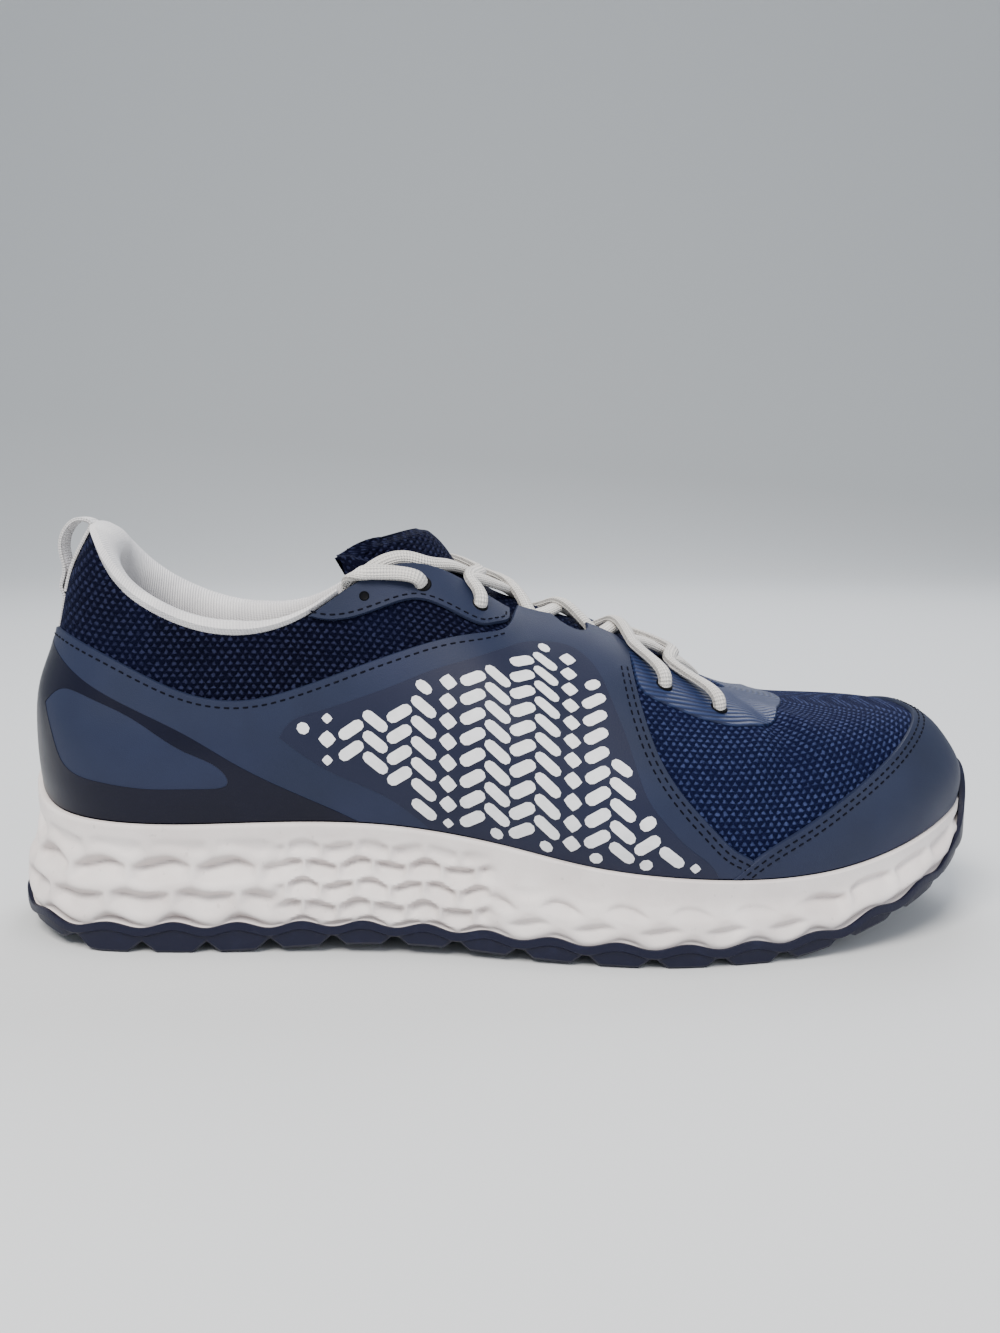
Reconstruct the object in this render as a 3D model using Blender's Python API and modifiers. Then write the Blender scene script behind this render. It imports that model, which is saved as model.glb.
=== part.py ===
# A turf shoe for the right foot, men's size 10, as an assembly of its real pieces.
# Metres. +X runs to the toe, +Y to the medial side, +Z up, and the origin lies on the ground
# under the middle of the shoe. Table entries are shares of the named size that they follow.

import functools
import math
from collections import namedtuple

import bmesh
import bpy
import numpy as np

# Overall form
SHOE_LENGTH = 0.300
BALL_WIDTH = 0.0995  # of the upper, outside, at the midsole's rim
HEEL_STACK = 0.0375  # ground to the midsole's rim beside the heel
HEEL_HEIGHT = 0.1205  # ground to the topline at the back of the heel
INSTEP_HEIGHT = 0.1115  # ground to the topline at the top eyelets
TOE_HEIGHT = 0.0710  # ground to the front end of the throat

# Thicknesses and clearances
UPPER_WALL = 0.0022
OVERLAY_WALL = 0.0009
FILM_WALL = 0.0006
SEAT_GAP = 0.0003  # between curved pieces that meet
PANEL_LIFT = 0.0006  # of the overlays off the upper
OVERLAY_FOOT = 0.02  # level at which the overlays end over the midsole's rim
SKIRT_INSET = 0.0006  # of the upper's wall inside the midsole's cup
RIM_LIP = 0.0024  # wall of the midsole's cup at its top
TOE_LIP = 0.0012  # the same wall at the toe, under the rubber bumper
HEEL_FLARE = 0.0042  # how far the midsole stands out under its rim
SIDE_FLARE = 0.0036
RELIEF = 0.0008  # depth of the moulded facets on the midsole's side

# Outsole
LUGS_PER_SIDE = 18
LUG_HEIGHT = 0.0032
LUG_DEPTH = 0.0085  # of an edge lug, from the side inwards
WAVE_HEIGHT = 0.0009  # of the scalloped line between rubber and foam
OUTSOLE_PROUD = 0.0003
BUMPER_WALL = 0.0016
BUMPER_RISE = 0.0170  # of the toe bumper above the scalloped line
BUMPER_REACH = 0.090  # share of the half perimeter on each side of the toe
STUD_RADIUS = 0.0042
STUD_PITCH_X = 0.0225
STUD_PITCH_Y = 0.0170
STUD_MARGIN = 0.0150  # from the side of the sole to the nearest stud's middle
STUD_ROOT = 0.0012  # how far a stud reaches into the rubber
STUDS_TO = 0.85  # share of the length where the studs stop
ARCH_BARE = (0.37, 0.50)  # shares of the length between which there are none
LUG_TAPER = 0.0012
EDGE_BAND = 0.0014  # height of the plain band over the lugs

# Inside
INSOLE_THICKNESS = 0.0042
TONGUE_WALL = 0.0042
TONGUE_DEPTH = 0.0046  # of its face at the sides, under the outer face of the upper
TONGUE_CLEAR = 0.0024  # of its arch from the throat's edges
TONGUE_FREE = 7.0  # the station past which it stands free of the upper
TONGUE_FOLLOW = 0.8  # how far its free sides follow its middle
COLLAR_ROLL = 0.0040  # how far the padded roll stands above the topline
COLLAR_PAD = 0.0075  # thickness of the padding at the heel and ankle
COLLAR_THIN = 0.0010  # thickness where it runs out at the eyestay
COLLAR_END = 0.325  # share of the length where it runs out

# Fastening
LACE_WIDTH = 0.0056
LACE_THICKNESS = 0.0026
LACE_CLEAR = 0.0006  # between a band and the panel under it
LACE_SPREAD = 0.66  # of a band's end from its eyelet, share of its width
LOOP_WIDTH = 0.0100
LOOP_THICKNESS = 0.0014

# Fineness of the faces
AROUND_UPPER = 56
AROUND_SOLE = 6 * LUGS_PER_SIDE  # three faces to a lug, on both sides
AROUND_TONGUE = 11
TONGUE_ACROSS = 8
LACE_STEPS = 8
UPPER_LEVELS = (0.0, 0.09, 0.19, 0.30, 0.42, 0.55, 0.69, 0.85, 1.0)

HALF_BALL = BALL_WIDTH / 2

# A row for each rib of the upper, from the heel to the toe. x, edge_x: share of the length.
# lateral, medial, edge_half: half widths, share of HALF_BALL. rim: share of HEEL_STACK.
# edge_z: share of the height named in its last column.
Rib = namedtuple("Rib", "name x lateral medial rim edge_x edge_half edge_z height")
RIBS = [
    Rib("heel", 0.023, 0.00, 0.00, 1.25, 0.080, 0.000, 1.000, HEEL_HEIGHT),
    Rib("heel corner", 0.040, 0.36, 0.36, 1.11, 0.089, 0.250, 0.972, HEEL_HEIGHT),
    Rib("heel side", 0.080, 0.59, 0.59, 1.03, 0.112, 0.410, 0.890, HEEL_HEIGHT),
    Rib("heel front", 0.150, 0.68, 0.68, 0.99, 0.157, 0.530, 0.808, HEEL_HEIGHT),
    Rib("ankle", 0.240, 0.70, 0.68, 1.00, 0.228, 0.590, 0.758, HEEL_HEIGHT),
    Rib("quarter", 0.333, 0.72, 0.65, 1.01, 0.307, 0.590, 0.808, HEEL_HEIGHT),
    Rib("collar corner", 0.387, 0.75, 0.65, 0.99, 0.352, 0.540, 0.955, INSTEP_HEIGHT),
    Rib("top eyelets", 0.443, 0.80, 0.68, 0.94, 0.397, 0.440, 1.000, INSTEP_HEIGHT),
    Rib("waist", 0.503, 0.88, 0.75, 0.86, 0.445, 0.360, 0.962, INSTEP_HEIGHT),
    Rib("instep", 0.567, 0.95, 0.85, 0.75, 0.503, 0.290, 0.868, INSTEP_HEIGHT),
    Rib("ball", 0.647, 1.00, 0.96, 0.67, 0.580, 0.260, 0.812, INSTEP_HEIGHT),
    Rib("ball front", 0.727, 0.95, 1.00, 0.62, 0.643, 0.240, 1.160, TOE_HEIGHT),
    Rib("toe side", 0.807, 0.85, 0.965, 0.64, 0.693, 0.200, 1.060, TOE_HEIGHT),
    Rib("toe shoulder", 0.887, 0.66, 0.86, 0.76, 0.718, 0.130, 1.014, TOE_HEIGHT),
    Rib("toe corner", 0.943, 0.415, 0.625, 0.89, 0.725, 0.065, 1.003, TOE_HEIGHT),
    Rib("toe round", 0.972, 0.185, 0.395, 0.965, 0.7265, 0.030, 1.001, TOE_HEIGHT),
    Rib("toe", 0.982, -0.105, 0.105, 1.00, 0.727, 0.000, 1.000, TOE_HEIGHT),
]

# The upper's curve from its rim to its edge, a row for each level. Each pair is the share of
# the way in and the share of the way up, at the heel, ankle, ball, toe side and toe.
PROFILE_AT = (0.0, 0.28, 0.68, 0.87, 1.0)
Level = namedtuple("Level", "s heel ankle ball toe_side toe")
LEVELS = [
    Level(0.00, (0.00, 0.00), (0.00, 0.00), (0.00, 0.00), (0.00, 0.00), (0.00, 0.00)),
    Level(0.14, (-0.01, 0.13), (-0.20, 0.13), (-0.04, 0.16), (-0.02, 0.25), (0.00, 0.25)),
    Level(0.28, (0.02, 0.29), (-0.30, 0.28), (0.01, 0.34), (0.03, 0.50), (0.06, 0.50)),
    Level(0.42, (0.12, 0.42), (-0.20, 0.43), (0.12, 0.51), (0.13, 0.73), (0.16, 0.76)),
    Level(0.56, (0.36, 0.57), (0.05, 0.57), (0.28, 0.67), (0.29, 0.86), (0.32, 0.89)),
    Level(0.70, (0.50, 0.73), (0.35, 0.71), (0.50, 0.81), (0.51, 0.91), (0.52, 0.915)),
    Level(0.85, (0.67, 0.86), (0.70, 0.86), (0.76, 0.92), (0.77, 0.94), (0.78, 0.94)),
    Level(1.00, (1.00, 1.00), (1.00, 1.00), (1.00, 1.00), (1.00, 1.00), (1.00, 1.00)),
]

# The sole along its length, as shares of HEEL_STACK: where the lugs end, the scalloped line
# and the footbed. Values under 0 are cut off at the ground.
SolePoint = namedtuple("SolePoint", "x bottom line footbed")
SOLE_PROFILE = [
    SolePoint(0.00, 0.160, 0.285, 0.76),
    SolePoint(0.05, 0.090, 0.225, 0.76),
    SolePoint(0.10, 0.000, 0.215, 0.75),
    SolePoint(0.15, -0.010, 0.220, 0.75),
    SolePoint(0.20, 0.000, 0.222, 0.75),
    SolePoint(0.27, 0.030, 0.225, 0.74),
    SolePoint(0.36, 0.075, 0.240, 0.71),
    SolePoint(0.45, 0.065, 0.220, 0.65),
    SolePoint(0.55, 0.020, 0.185, 0.54),
    SolePoint(0.63, 0.000, 0.165, 0.45),
    SolePoint(0.70, -0.010, 0.158, 0.41),
    SolePoint(0.76, 0.010, 0.170, 0.40),
    SolePoint(0.81, 0.090, 0.220, 0.42),
    SolePoint(0.85, 0.185, 0.315, 0.48),
    SolePoint(0.90, 0.310, 0.440, 0.58),
    SolePoint(0.94, 0.430, 0.565, 0.69),
    SolePoint(0.97, 0.540, 0.680, 0.78),
    SolePoint(1.00, 0.670, 0.820, 0.90),
]

# The midsole's side from its bottom edge to its rim, as shares of that height and of the flare
SIDE_LEVELS = [(0.0, 0.80), (0.14, 1.00), (0.30, 0.90), (0.46, 0.55), (0.60, 0.16), (0.78, 0.00)]
RELIEF_LEVELS = (1, 2, 3)  # of those, the ones with moulded facets

EYELET_AT = (0.410, 0.462, 0.514, 0.570, 0.632, 0.686)  # shares of the length, top to bottom
EYELET_LEVEL = 0.90

# The tongue's middle line, a row for each station from its tucked front to its free top. x and
# edge: shares of the length, edge being where the throat's side is. z: of INSTEP_HEIGHT.
TongueRow = namedtuple("TongueRow", "name station x z edge")
TONGUE = [
    TongueRow("tucked front", 0, 0.742, 0.592, 0.7200),
    TongueRow("throat front", 1, 0.712, 0.622, 0.7030),
    TongueRow("low lacing", 2, 0.655, 0.738, 0.6480),
    TongueRow("ball", 3, 0.597, 0.825, 0.5880),
    TongueRow("instep", 4, 0.535, 0.898, 0.5240),
    TongueRow("waist", 5, 0.488, 0.963, 0.4740),
    TongueRow("top eyelets", 6, 0.462, 1.015, 0.4320),
    TongueRow("ankle", 7, 0.449, 1.060, 0.3930),
    TongueRow("free", 8, 0.437, 1.100, 0.3650),
    TongueRow("tip", 9, 0.420, 1.125, 0.3480),
]

# The pull loop's middle line. x: share of the length. z: share of HEEL_HEIGHT.
LoopRow = namedtuple("LoopRow", "name share x z")
LOOP = [
    LoopRow("lower end", 0.00, 0.0508, 0.858),
    LoopRow("stitches", 0.12, 0.0530, 0.905),
    LoopRow("back", 0.34, 0.0420, 0.970),
    LoopRow("high back", 0.50, 0.0480, 1.032),
    LoopRow("top", 0.64, 0.0740, 1.062),
    LoopRow("over the collar", 0.80, 0.1130, 1.066),
    LoopRow("inner end", 1.00, 0.1330, 0.985),
]

# Outlines of the overlays seen from the side: shares of the length, and of INSTEP_HEIGHT or,
# in front of the throat, of TOE_HEIGHT
QUARTER_PANEL = [
    (-0.05, 0.940), (0.075, 0.900), (0.107, 0.855), (0.150, 0.795), (0.200, 0.745),
    (0.240, 0.722), (0.290, 0.737), (0.340, 0.785), (0.393, 0.835), (0.445, 0.882),
    (0.495, 0.905), (0.530, 1.050), (0.566, 0.950), (0.587, 0.870), (0.601, 0.960),
    (0.630, 0.835), (0.640, 0.720), (0.655, 0.585), (0.680, 0.465), (0.712, 0.372),
    (0.745, 0.310), (0.755, 0.200), (-0.05, 0.200),
]
TOE_CAP = [
    (0.759, 0.314), (0.762, 0.471), (0.801, 0.581), (0.845, 0.730), (0.884, 0.872),
    (0.903, 0.989), (0.900, 1.068), (0.950, 1.131), (1.050, 0.785), (1.050, 0.314),
]
EYESTAY = [
    (0.290, 1.200), (0.302, 0.960), (0.345, 0.925), (0.385, 0.945), (0.415, 0.960),
    (0.460, 0.915), (0.490, 0.912), (0.513, 0.995), (0.530, 1.060), (0.530, 1.200),
]
VAMP_FILM = [
    (0.608, 1.523), (0.640, 1.311), (0.650, 1.131), (0.690, 1.060), (0.735, 0.992),
    (0.758, 0.986), (0.775, 1.029), (0.765, 1.194),
]


def spline(knots, values, closed=False):
    """A smooth curve through values at knots. Closed, the last value repeats the first."""
    x, y = np.asarray(knots, float), np.asarray(values, float)
    n, h = len(x), np.diff(x)
    slope = np.diff(y, axis=0) / h.reshape((-1,) + (1,) * (y.ndim - 1))
    a, b = np.zeros((n, n)), np.zeros_like(y)
    for i in range(1, n - 1):
        a[i, i - 1 : i + 2] = h[i - 1], 2 * (h[i - 1] + h[i]), h[i]
        b[i] = 6 * (slope[i] - slope[i - 1])
    a[0, 0] = a[-1, -1] = 1
    if closed:
        a[0, -1] = -1
        a[-1, 0], a[-1, 1], a[-1, -2], a[-1, -1] = 2 * h[0], h[0], h[-1], 2 * h[-1]
        b[-1] = 6 * (slope[0] - slope[-1])
    bend = np.linalg.solve(a, b.reshape(n, -1)).reshape(y.shape)

    def at(t):
        t = float(t)
        if closed:
            t = x[0] + (t - x[0]) % (x[-1] - x[0])
        i = int(np.clip(np.searchsorted(x, t, side="right") - 1, 0, n - 2))
        t = t if closed else min(max(t, x[0]), x[-1])
        left, right = (x[i + 1] - t) / h[i], (t - x[i]) / h[i]
        cubic = (left**3 - left) * bend[i] + (right**3 - right) * bend[i + 1]
        return left * y[i] + right * y[i + 1] + cubic * h[i] ** 2 / 6

    return at


def unit(v):
    return v / max(np.linalg.norm(v), 1e-12)


def smooth_step(low, high, value):
    share = min(max((value - low) / (high - low), 0.0), 1.0)
    return share * share * (3 - 2 * share)


# The loop parameter u runs from 0 at the heel along the lateral side to 1 at the toe, and
# back along the medial side to 2. Its knots are shares of the half perimeter.
def half_perimeter():
    plan = [(r.x * SHOE_LENGTH, r.lateral * HALF_BALL) for r in RIBS]
    steps = [math.dist(a, b) for a, b in zip(plan, plan[1:])]
    return np.concatenate([[0.0], np.cumsum(steps) / sum(steps)])


KNOTS = half_perimeter()


def loop_curve(lateral_points, medial_points):
    """A closed curve through the ribs' points: up the lateral side, then down the medial."""
    knots = list(KNOTS) + [2 - k for k in KNOTS[-2::-1]]
    points = list(lateral_points) + list(medial_points)[-2::-1]
    return spline(knots, points, closed=True)


rim_curve = loop_curve(
    [(r.x * SHOE_LENGTH, -r.lateral * HALF_BALL, r.rim * HEEL_STACK) for r in RIBS],
    [(r.x * SHOE_LENGTH, r.medial * HALF_BALL, r.rim * HEEL_STACK) for r in RIBS],
)
edge_curve = loop_curve(
    [(r.edge_x * SHOE_LENGTH, -r.edge_half * HALF_BALL, r.edge_z * r.height) for r in RIBS],
    [(r.edge_x * SHOE_LENGTH, r.edge_half * HALF_BALL, r.edge_z * r.height) for r in RIBS],
)
level_curve = spline([lev.s for lev in LEVELS], [np.array(lev[1:]) for lev in LEVELS])
sole_curve = spline([p.x for p in SOLE_PROFILE], [p[1:] for p in SOLE_PROFILE])


def sole_heights(x):
    """Ground side, scalloped line and footbed of the sole at x."""
    bottom, line, footbed = sole_curve(x / SHOE_LENGTH) * HEEL_STACK
    return max(bottom, 0.0), line, footbed


def lug_height(x):
    """Height of the lugs at x: never more than half of the rubber under the foam."""
    bottom, line, _ = sole_heights(x)
    return min(LUG_HEIGHT, 0.5 * (line - bottom))


@functools.lru_cache(maxsize=None)
def profile_curve(s):
    return spline(PROFILE_AT, level_curve(s))


def profile_shares(u, s):
    """Shares of the way in and up at level s of the rib at u."""
    t = u % 2
    return profile_curve(round(s, 6))(min(t, 2 - t))


def upper_point(u, s):
    """The upper's outer face. s is 0 at the midsole's rim and 1 at the topline and throat."""
    rim, edge = rim_curve(u), edge_curve(u)
    if s > 1:
        return edge + (s - 1) * (edge - upper_point(u, 0.9)) / 0.1
    way_in, way_up = profile_shares(u, s)
    point = rim + way_in * (edge - rim)
    point[2] = rim[2] + way_up * (edge[2] - rim[2])
    return point


def upper_normal(u, s):
    """Outward normal of the upper's outer face."""
    step = 1e-3
    low, high = max(s - step, 0), min(s + step, 1)
    along = upper_point(u + step, s) - upper_point(u - step, s)
    rise = upper_point(u, high) - upper_point(u, low)
    return unit(np.cross(along, rise))


def lifted(u, s, lift):
    return upper_point(u, s) + lift * upper_normal(u, s)


def plan_outset(u, outset):
    """The rim curve moved out by outset in plan, with its height."""
    step = 1e-3
    along = rim_curve(u + step) - rim_curve(u - step)
    out = unit(np.array([along[1], -along[0], 0.0]))
    return rim_curve(u) + outset * out


def toe_nearness(u, reach):
    """1 at the toe, falling to 0 at that share of the half perimeter to each side."""
    return 1 - smooth_step(0.0, reach, abs((u % 2) - 1))


def heel_nearness(u, reach):
    t = u % 2
    return 1 - smooth_step(0.0, reach, min(t, 2 - t))


def u_where_edge_is(x_share):
    """The lateral u at which the topline passes a share of the length."""
    low, high = 0.2, 1.0
    for _ in range(40):
        middle = (low + high) / 2
        if edge_curve(middle)[0] < x_share * SHOE_LENGTH:
            low = middle
        else:
            high = middle
    return low


def lip_at(u):
    return RIM_LIP + (TOE_LIP - RIM_LIP) * toe_nearness(u, 0.16)


def flare_at(u):
    side = SIDE_FLARE + (HEEL_FLARE - SIDE_FLARE) * heel_nearness(u, 0.2)
    return side * (1 - 0.9 * toe_nearness(u, 0.2))


def wave_at(column):
    """Height of the scalloped line at a column of the sole: low at each notch."""
    return -WAVE_HEIGHT if column % 3 == 0 else WAVE_HEIGHT


def midsole_side(u, share, flare_share, line_shift=0.0, outset=0.0):
    """A point of the midsole's side, at a share of the way from its bottom edge to its rim."""
    out = SEAT_GAP + lip_at(u) + flare_share * flare_at(u)
    point = plan_outset(u, out + outset)
    low = sole_heights(point[0])[1] + line_shift * (1 - toe_nearness(u, 0.12))
    point[2] = low + share * (point[2] - low)
    return point


def new_mesh(name, points, faces, colour, roughness, closed=True):
    """An object of the given faces, turned outwards, with its own material."""
    mesh = bpy.data.meshes.new(name)
    mesh.from_pydata([tuple(p) for p in points], [], faces)
    work = bmesh.new()
    work.from_mesh(mesh)
    bmesh.ops.recalc_face_normals(work, faces=work.faces)
    work.to_mesh(mesh)
    work.free()
    if not closed:
        middle = np.array([SHOE_LENGTH / 2, 0, HEEL_STACK])
        votes = sum(np.dot(p.normal, np.array(p.center) - middle) * p.area for p in mesh.polygons)
        if votes < 0:
            mesh.flip_normals()
    mesh.shade_smooth()
    mesh.set_sharp_from_angle(angle=math.radians(40))
    mesh.materials.append(material(name, colour, roughness))
    return bpy.data.objects.new(name, mesh)


def material(name, colour, roughness):
    made = bpy.data.materials.new(name)
    made.use_nodes = True
    shader = made.node_tree.nodes["Principled BSDF"]
    shader.inputs["Base Color"].default_value = (*colour, 1.0)
    shader.inputs["Roughness"].default_value = roughness
    shader.inputs["Metallic"].default_value = 0.0
    made.diffuse_color = (*colour, 1.0)
    return made


def ring_faces(rings, count, closed=True):
    """Quads between rings of count points each, stored one after another."""
    faces = []
    last = count if closed else count - 1
    for k in range(rings - 1):
        for i in range(last):
            j = (i + 1) % count
            a, b = k * count, (k + 1) * count
            faces.append((a + i, a + j, b + j, b + i))
    return faces


def cross_cap(start, count):
    """Closes a ring whose first point is the heel and whose middle point is the toe."""
    half = count // 2
    faces = [(start, start + 1, start + count - 1)]
    for i in range(1, half - 1):
        faces.append((start + i, start + i + 1, start + count - i - 1, start + count - i))
    faces.append((start + half - 1, start + half, start + half + 1))
    return faces


def solidify(piece, thickness, offset, even=True):
    """Gives an open surface a wall: offset -1 grows it inwards, 1 outwards."""
    wall = piece.modifiers.new("wall", "SOLIDIFY")
    wall.thickness = thickness
    wall.offset = offset
    wall.use_even_offset = even
    return piece


def combine(piece, other, operation):
    cut = piece.modifiers.new(other.name, "BOOLEAN")
    cut.operation = operation
    cut.object = other
    cut.solver = "EXACT"
    return piece


def side_cutter(name, outline, height, side=0):
    """A prism of the outline seen from the side: across the whole shoe, or on one side of it."""
    start = 0.0 if side > 0 else -BALL_WIDTH
    end = 0.0 if side < 0 else BALL_WIDTH
    work = bmesh.new()
    corners = [(x * SHOE_LENGTH, start, z * height) for x, z in outline]
    face = work.faces.new([work.verts.new(c) for c in corners])
    grown = bmesh.ops.extrude_face_region(work, geom=[face])
    moved = [v for v in grown["geom"] if isinstance(v, bmesh.types.BMVert)]
    bmesh.ops.translate(work, verts=moved, vec=(0, end - start, 0))
    bmesh.ops.recalc_face_normals(work, faces=work.faces)
    mesh = bpy.data.meshes.new(name)
    work.to_mesh(mesh)
    work.free()
    return as_cutter(bpy.data.objects.new(name, mesh))


def as_cutter(piece):
    piece.hide_render = True
    piece.display_type = "WIRE"
    cutters.append(piece)
    return piece


cutters = []
SLATE = (0.043, 0.052, 0.098)
NAVY = (0.010, 0.012, 0.040)
FILM_BLUE = (0.060, 0.085, 0.190)
WHITE = (0.76, 0.74, 0.72)
RUBBER = (0.012, 0.015, 0.060)


def upper_sheet(name, lift, lowest, colour, roughness, skirt=False):
    """The whole outer face of the upper as an open sheet, lifted off it."""
    points = []
    levels = [lowest] + [s for s in UPPER_LEVELS if s > lowest + 0.02]
    rows = len(levels) + (1 if skirt else 0)
    for i in range(AROUND_UPPER):
        u = 2 * i / AROUND_UPPER
        if skirt:
            foot = plan_outset(u, -SKIRT_INSET)
            foot[2] = sole_heights(foot[0])[2] + SEAT_GAP
            points.append(foot)
        points += [lifted(u, s, lift) for s in levels]
    faces = []
    for i in range(AROUND_UPPER):
        j = (i + 1) % AROUND_UPPER
        for k in range(rows - 1):
            faces.append((i * rows + k, j * rows + k, j * rows + k + 1, i * rows + k + 1))
    return new_mesh(name, points, faces, colour, roughness, closed=False)


def make_upper():
    """The knitted upper: one wall from the footbed to the topline and throat."""
    return solidify(upper_sheet("upper", 0.0, 0.0, NAVY, 0.85, skirt=True), UPPER_WALL, -1)


def make_overlay(name, outline, height, wall, colour, roughness, side=0):
    """A panel on the upper: a wall just off it, cut by a prism of the panel's outline."""
    sheet = upper_sheet(name, PANEL_LIFT, OVERLAY_FOOT, colour, roughness)
    cutter = side_cutter(name + "_outline", outline, height, side)
    return combine(solidify(sheet, wall, 1), cutter, "INTERSECT")


def make_midsole():
    """The foam: a cup for the upper, a sculpted side and a scalloped bottom edge."""
    columns = [2 * i / AROUND_SOLE for i in range(AROUND_SOLE)]
    cup = [plan_outset(u, SEAT_GAP) for u in columns]
    foot = [np.array([p[0], p[1], sole_heights(p[0])[2]]) for p in cup]
    rings = [foot, cup, [plan_outset(u, SEAT_GAP + lip_at(u)) for u in columns]]
    for k, (share, flare_share) in reversed(list(enumerate(SIDE_LEVELS))):
        ring = []
        for i, u in enumerate(columns):
            push = 0.0
            if k in RELIEF_LEVELS:
                push = RELIEF * (1 if (i + k) % 2 else -1) * smooth_step(0.11, 0.2, abs(u - 1))
            ring.append(midsole_side(u, share, flare_share, wave_at(i) * (1 - share), push))
        rings.append(ring)
    rings.append([under_midsole(u, 0.0) for u in columns])
    faces = ring_faces(len(rings), AROUND_SOLE) + cross_cap(0, AROUND_SOLE)
    faces += cross_cap((len(rings) - 1) * AROUND_SOLE, AROUND_SOLE)
    return new_mesh("midsole", [p for ring in rings for p in ring], faces, WHITE, 0.6)


def under_midsole(u, drop):
    """The border of the flat underside of the foam, dropped by drop."""
    point = plan_outset(u, SEAT_GAP - LUG_DEPTH / 2)
    point[2] = sole_heights(point[0])[1] - drop
    return point


def outsole_section(i):
    """The rubber's section at a column, from the middle of its top face round to its base."""
    u = 2 * i / AROUND_SOLE
    near_toe = toe_nearness(u, BUMPER_REACH)
    edge = midsole_side(u, 0.0, SIDE_LEVELS[1][1], wave_at(i), SEAT_GAP)
    out = unit(plan_outset(u, 1.0) - plan_outset(u, 0.0))
    proud = OUTSOLE_PROUD + (BUMPER_WALL - OUTSOLE_PROUD) * near_toe
    rise = np.array([0, 0, BUMPER_RISE * near_toe - SEAT_GAP])
    outer = edge + out * proud
    foot_out = edge - out * LUG_TAPER
    foot_in = edge - out * LUG_DEPTH
    base = foot_in - out * LUG_TAPER
    notch = 1.0 if i % 3 == 0 else 0.0
    foot_out[2] = sole_heights(edge[0])[0] + notch * lug_height(edge[0])
    foot_in[2] = sole_heights(foot_in[0])[0] + notch * lug_height(foot_in[0])
    base[2] = sole_heights(base[0])[0] + lug_height(base[0])
    under_edge = edge - np.array([0, 0, WAVE_HEIGHT + SEAT_GAP])
    band = outer - np.array([0, 0, EDGE_BAND])
    top_in, top_out = edge + rise, outer + rise
    return under_midsole(u, WAVE_HEIGHT), under_edge, top_in, top_out, band, foot_out, foot_in, base


def make_outsole():
    """The rubber: a scalloped top edge, lugs along its side, a toe bumper and studs."""
    sections = [outsole_section(i) for i in range(AROUND_SOLE)]
    rings = len(sections[0])
    points = [section[k] for k in range(rings) for section in sections]
    faces = ring_faces(rings, AROUND_SOLE) + cross_cap(0, AROUND_SOLE)
    faces += cross_cap((rings - 1) * AROUND_SOLE, AROUND_SOLE)
    rubber = new_mesh("outsole", points, faces, RUBBER, 0.55)
    return combine(rubber, make_studs(), "UNION")


def make_studs():
    """Six-sided studs in staggered rows, wherever the sole is wide enough."""
    plan = [rim_curve(2 * i / AROUND_SOLE) for i in range(AROUND_SOLE)]
    half = AROUND_SOLE // 2 + 1
    lateral, medial = plan[:half], [plan[-i % AROUND_SOLE] for i in range(half)]
    work = bmesh.new()
    rows = int(SHOE_LENGTH / STUD_PITCH_X)
    for row in range(rows):
        x = (row + 0.5) * STUD_PITCH_X
        share = x / SHOE_LENGTH
        if ARCH_BARE[0] < share < ARCH_BARE[1] or share > STUDS_TO or x < STUD_MARGIN:
            continue
        low = np.interp(x, [p[0] for p in lateral], [p[1] for p in lateral]) + STUD_MARGIN
        high = np.interp(x, [p[0] for p in medial], [p[1] for p in medial]) - STUD_MARGIN
        count = max(int((high - low) / STUD_PITCH_Y) + 1, 1)
        ground = sole_heights(x)[0]
        for k in range(count):
            y = low + (high - low) * (k + 0.5) / count
            add_stud(work, (x, y, ground), lug_height(x) + STUD_ROOT)
    mesh = bpy.data.meshes.new("studs")
    work.to_mesh(mesh)
    work.free()
    return as_cutter(bpy.data.objects.new("studs", mesh))


def add_stud(work, foot, depth):
    made = bmesh.ops.create_cone(
        work,
        cap_ends=True,
        segments=6,
        radius1=STUD_RADIUS,
        radius2=STUD_RADIUS + LUG_TAPER,
        depth=depth,
    )
    bmesh.ops.translate(work, verts=made["verts"], vec=(foot[0], foot[1], foot[2] + depth / 2))


def make_insole():
    """The footbed's loose liner, inside the upper's wall."""
    inset = SKIRT_INSET + UPPER_WALL + 2 * SEAT_GAP
    rings = [[], [], []]
    for i in range(AROUND_UPPER):
        u = 2 * i / AROUND_UPPER
        for ring, extra, rise in zip(rings, (0.0, 0.0, 0.0012), (0.0, 0.7, 1.0)):
            point = plan_outset(u, -inset - extra)
            point[2] = sole_heights(point[0])[2] + SEAT_GAP + rise * INSOLE_THICKNESS
            ring.append(point)
    faces = ring_faces(3, AROUND_UPPER) + cross_cap(0, AROUND_UPPER)
    faces += cross_cap(2 * AROUND_UPPER, AROUND_UPPER)
    return new_mesh("insole", [p for ring in rings for p in ring], faces, SLATE, 0.9)


def collar_pad_at(u):
    """Thickness of the padding: full at the heel and ankle, thin where it meets the eyestay."""
    end = u_where_edge_is(COLLAR_END)
    t = min(u % 2, 2 - u % 2)
    return COLLAR_THIN + (COLLAR_PAD - COLLAR_THIN) * (1 - smooth_step(0.55 * end, end, t))


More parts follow.
